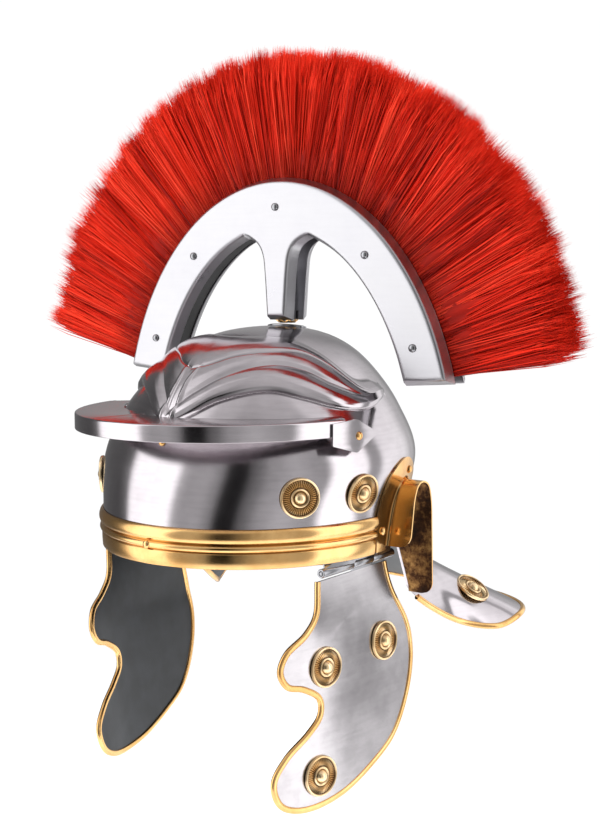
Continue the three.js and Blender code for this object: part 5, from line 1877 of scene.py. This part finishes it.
def make_hair_core():
    """The dense heart of the fan, ribbed in locks, that closes the gaps between bristles."""
    locks = 60
    shares = np.linspace(0, 1, locks * 6 + 1)
    outs = np.array([0, 0.03, 0.1, 0.2, 0.32, 0.44, 0.54, 0.6, 0.64])
    halves = np.concatenate([np.full(len(outs), 1.0), [0.0], np.full(len(outs), -1.0)])
    section_out = np.concatenate([outs, [0.65], outs[::-1]])
    rings = []
    for share in shares:
        rib = 0.5 + 0.5 * math.cos(2 * math.pi * share * locks)
        wave = math.sin(share * 37.0) * 0.5 + math.sin(share * 91.0 + 1) * 0.5
        out = section_out * (0.985 + 0.012 * wave - 0.02 * (1 - rib))
        edge = (0.74 - 0.1 * (1 - rib) * np.clip(section_out * 3, 0, 1)) * (1 - 0.4 * section_out)
        inside = np.clip(share, 0.004, 0.996)
        rings.append(hair_place(np.full(len(out), inside), out, halves * edge))
    ribs = 0.5 + 0.5 * np.cos(2 * math.pi * shares * locks)
    # Painted shade: a low reach and shade darken the heart as the fan's deep inside, most between the locks
    marks = {
        "reach": np.tile(section_out * 0.5, len(shares)),
        "shade": np.repeat(0.2 + 0.15 * ribs, len(section_out)),
    }
    shape, nodes = swept(rings), ["crest_hair"]
    merged_piece("crest_hair_heart", *shape, [look("bristle")], nodes, "red_bristle", 60, marks=marks)


# Stage


# Brightness of the room by turn in degrees from the camera's side, growing to the picture's right
STUDIO_BANDS = table(
    "turn light",
    (-180, 0.4), (-155, 0.14), (-118, 0.11), (-108, 0.2), (-100, 2.0), (-63, 2.1),
    (-56, 0.62), (-50, 0.5), (-36, 0.56), (-29, 0.42), (-20, 0.01), (-10, 0.01), (0, 0.22),
    (12, 0.5), (28, 0.66), (46, 0.5), (52, 0.4), (60, 2.1), (87, 2.0), (93, 0.5),
    (101, 0.5), (109, 1.5), (132, 1.4), (150, 0.7), (165, 0.35), (180, 0.4),
)
# How the bands give way to an even light by height: rise is the sine of the angle, even the share of it
STUDIO_HEIGHTS = ((0.0, 0.9), (0.2, 0.55), (0.3, 0.0), (0.76, 0.0), (0.9, 0.7), (1.0, 0.9))
BRIGHTEST = 2.0
FLOOR_LEVEL = -330.0
FLOOR_RADIUS = 1000
FLOOR_SIDES = 64


def studio_world():
    """A white room with soft dark and light bands, so that the steel has something to mirror."""
    world = bpy.data.worlds.new("studio")
    bpy.context.scene.world = world
    world.use_nodes = True
    tree = world.node_tree
    tree.nodes.clear()
    seen = add(tree, "ShaderNodeTexCoord").outputs["Generated"]
    ahead = math.radians(90 - CAMERA_TURN)
    faced = add(tree, "ShaderNodeMapping", {"Vector": seen, "Rotation": (0, 0, ahead)})
    parts = add(tree, "ShaderNodeSeparateXYZ", {0: faced})
    angle = add(tree, "ShaderNodeMath", {0: parts.outputs[1], 1: parts}, operation="ARCTAN2")
    turn = add(tree, "ShaderNodeMapRange", {"Value": angle, "From Min": -math.pi, "From Max": math.pi})
    stops = [
        (t / 360 + 0.5, light / BRIGHTEST) for t, light in zip(STUDIO_BANDS["turn"], STUDIO_BANDS["light"])
    ]
    bands = ramp(tree, turn, *stops, interpolation="EASE")
    bright = add(tree, "ShaderNodeVectorMath", {0: bands, "Scale": BRIGHTEST}, operation="SCALE")
    rise = add(tree, "ShaderNodeMapRange", {"Value": parts.outputs[2], "From Min": -1.0, "From Max": 1.0})
    even = ramp(tree, rise, *STUDIO_HEIGHTS, interpolation="EASE")
    lit = add(
        tree,
        "ShaderNodeMix",
        {"Factor": even, 6: bright, 7: (0.8, 0.79, 0.79, 1)},
        data_type="RGBA",
    )
    room = add(tree, "ShaderNodeBackground", {"Color": lit.outputs[2], "Strength": 1.0})
    white = add(tree, "ShaderNodeBackground", {"Color": (1, 1, 1, 1), "Strength": 1.02})
    path = add(tree, "ShaderNodeLightPath")
    both = add(
        tree,
        "ShaderNodeMixShader",
        {0: path.outputs["Is Camera Ray"], 1: room, 2: white},
    )
    add(tree, "ShaderNodeOutputWorld", {"Surface": both})


def studio_floor():
    """A pale floor that fades into the white room."""
    material, tree = new_material("pale_paper_floor")
    place = add(tree, "ShaderNodeTexCoord").outputs["Object"]
    far = add(tree, "ShaderNodeVectorMath", {0: place}, operation="LENGTH")
    fade = add(
        tree,
        "ShaderNodeMapRange",
        {"Value": far.outputs["Value"], "From Min": 0.35, "From Max": 0.95},
        interpolation_type="SMOOTHSTEP",
    )
    paper = add(tree, "ShaderNodeBsdfPrincipled", {"Base Color": linear("#fbfbfb"), "Roughness": 0.9})
    clear = add(tree, "ShaderNodeBsdfTransparent")
    both = add(tree, "ShaderNodeMixShader", {0: fade, 1: paper, 2: clear})
    add(tree, "ShaderNodeOutputMaterial", {"Surface": both})
    angle = round_steps(FLOOR_SIDES)
    points = [(FLOOR_RADIUS * math.cos(a), FLOOR_RADIUS * math.sin(a), FLOOR_LEVEL) for a in angle]
    floor = new_piece("floor", points, [list(range(FLOOR_SIDES))], [material], None)


def aimed(name, data, place, target):
    """A light or camera that looks from its place to a target."""
    thing = in_scene(name, data)
    thing.location = place
    thing.rotation_mode = "QUATERNION"
    thing.rotation_quaternion = (Vector(target) - Vector(place)).to_track_quat("-Z", "Y")
    return thing


def soft_light(name, place, target, width, height, power):
    data = bpy.data.lights.new(name, "AREA")
    data.shape = "RECTANGLE"
    data.size = width
    data.size_y = height
    data.energy = power
    data.specular_factor = 0.0
    aimed(name, data, place, target).visible_glossy = False


def make_stage():
    bpy.context.scene.view_settings.view_transform = "Standard"
    studio_world()
    studio_floor()
    soft_light("key", (-0.7, -1.7, 1.5), (0, 0, 0.15), 0.9, 0.9, 46)
    soft_light("side", (1.8, -0.5, 0.9), (0, 0, 0.1), 0.5, 1.2, 24)
    soft_light("top", (0.1, 0.1, 2.0), (0, 0, 0.1), 1.2, 1.2, 22)
    data = bpy.data.cameras.new("camera")
    data.lens = CAMERA_LENS
    data.sensor_width = 36.0
    bpy.context.scene.camera = aimed("camera", data, CAMERA_PLACE, CAMERA_TARGET)


# Panel, operators and properties


class HelmetProperties(bpy.types.PropertyGroup):
    """Sizes and finishes of the helmet that a user would change."""

    steel_colour: FloatVectorProperty(
        name="Steel",
        description="Colour of the polished steel",
        default=linear("#cbc5c9"),
        size=4,
        subtype="COLOR",
    )
    brass_colour: FloatVectorProperty(
        name="Brass",
        description="Colour of the buffed brass",
        default=linear("#f2c484"),
        size=4,
        subtype="COLOR",
    )
    bristle_colour: FloatVectorProperty(
        name="Bristle",
        description="Main colour of the crest",
        default=linear("#d92512"),
        size=4,
        subtype="COLOR",
    )
    steel_roughness: FloatProperty(
        name="Steel roughness",
        description="How soft the skull's reflections are",
        default=0.16,
        min=0.05,
        max=0.8,
        subtype="FACTOR",
    )
    bristle_count: IntProperty(
        name="Bristles", description="How many bristles the crest has", default=64000, min=1000, max=80000
    )
    bristle_thickness: FloatProperty(
        name="Bristle thickness",
        description="Width of one bristle, drawn thicker than a real one so that it shows",
        default=0.0008,
        unit="LENGTH",
    )


class HELMET_OT_skull(bpy.types.Operator):
    """Build the skull with its brows and neck guard, and the neck guard's brass edge"""

    bl_idname = "helmet.skull"
    bl_label = "Skull and neck guard"

    def execute(self, context):
        make_skull()
        make_neck_trim()
        return {"FINISHED"}


class HELMET_OT_brow_band(bpy.types.Operator):
    """Build the brass band round the brow"""

    bl_idname = "helmet.brow_band"
    bl_label = "Brow band"

    def execute(self, context):
        make_brow_band()
        return {"FINISHED"}


class HELMET_OT_brow_peak(bpy.types.Operator):
    """Build the steel peak and its end plates"""

    bl_idname = "helmet.brow_peak"
    bl_label = "Brow peak"

    def execute(self, context):
        make_brow_peak()
        make_end_plates()
        return {"FINISHED"}


class HELMET_OT_ear_guards(bpy.types.Operator):
    """Build the brass ear guards"""

    bl_idname = "helmet.ear_guards"
    bl_label = "Ear guards"

    def execute(self, context):
        make_ear_guards()
        return {"FINISHED"}


class HELMET_OT_cheek_guards(bpy.types.Operator):
    """Build the cheek guards, their brass edges and their hinges"""

    bl_idname = "helmet.cheek_guards"
    bl_label = "Cheek guards and hinges"

    def execute(self, context):
        make_cheek_guards()
        make_hinges()
        return {"FINISHED"}


class HELMET_OT_stampings(bpy.types.Operator):
    """Set the stamped rosettes and the rivets"""

    bl_idname = "helmet.stampings"
    bl_label = "Rosettes and rivets"

    def execute(self, context):
        make_rosettes()
        make_rivets()
        return {"FINISHED"}


class HELMET_OT_crest_holder(bpy.types.Operator):
    """Build the pressed steel crest holder, its wooden core and its fitting on the skull"""

    bl_idname = "helmet.crest_holder"
    bl_label = "Crest holder and fitting"

    def execute(self, context):
        make_crest_holder()
        make_crest_fitting()
        return {"FINISHED"}


class HELMET_OT_crest_hair(bpy.types.Operator):
    """Plant the red bristle crest"""

    bl_idname = "helmet.crest_hair"
    bl_label = "Bristle crest"

    def execute(self, context):
        make_hair()
        return {"FINISHED"}


class HELMET_OT_stage(bpy.types.Operator):
    """Set the pale floor, the soft studio light and the camera"""

    bl_idname = "helmet.stage"
    bl_label = "Stage"

    def execute(self, context):
        make_stage()
        return {"FINISHED"}


OPERATORS = (
    HELMET_OT_stage,
    HELMET_OT_skull,
    HELMET_OT_brow_band,
    HELMET_OT_brow_peak,
    HELMET_OT_ear_guards,
    HELMET_OT_cheek_guards,
    HELMET_OT_stampings,
    HELMET_OT_crest_holder,
    HELMET_OT_crest_hair,
)


class HELMET_PT_panel(bpy.types.Panel):
    """Lists the helmet's pieces and sizes"""

    bl_label = "Legionary helmet"
    bl_space_type = "VIEW_3D"
    bl_region_type = "UI"
    bl_category = "Helmet"

    def draw(self, context):
        for name in HelmetProperties.__annotations__:
            self.layout.prop(context.scene.helmet, name)
        for operator in OPERATORS:
            self.layout.operator(operator.bl_idname)


CLASSES = (HelmetProperties, *OPERATORS, HELMET_PT_panel)


def register():
    for each in CLASSES:
        bpy.utils.register_class(each)
    bpy.types.Scene.helmet = PointerProperty(type=HelmetProperties)


def unregister():
    del bpy.types.Scene.helmet
    for each in reversed(CLASSES):
        bpy.utils.unregister_class(each)


def main():
    register()
    for operator in OPERATORS:
        group, name = operator.bl_idname.split(".")
        getattr(getattr(bpy.ops, group), name)()


if __name__ == "__main__":
    main()
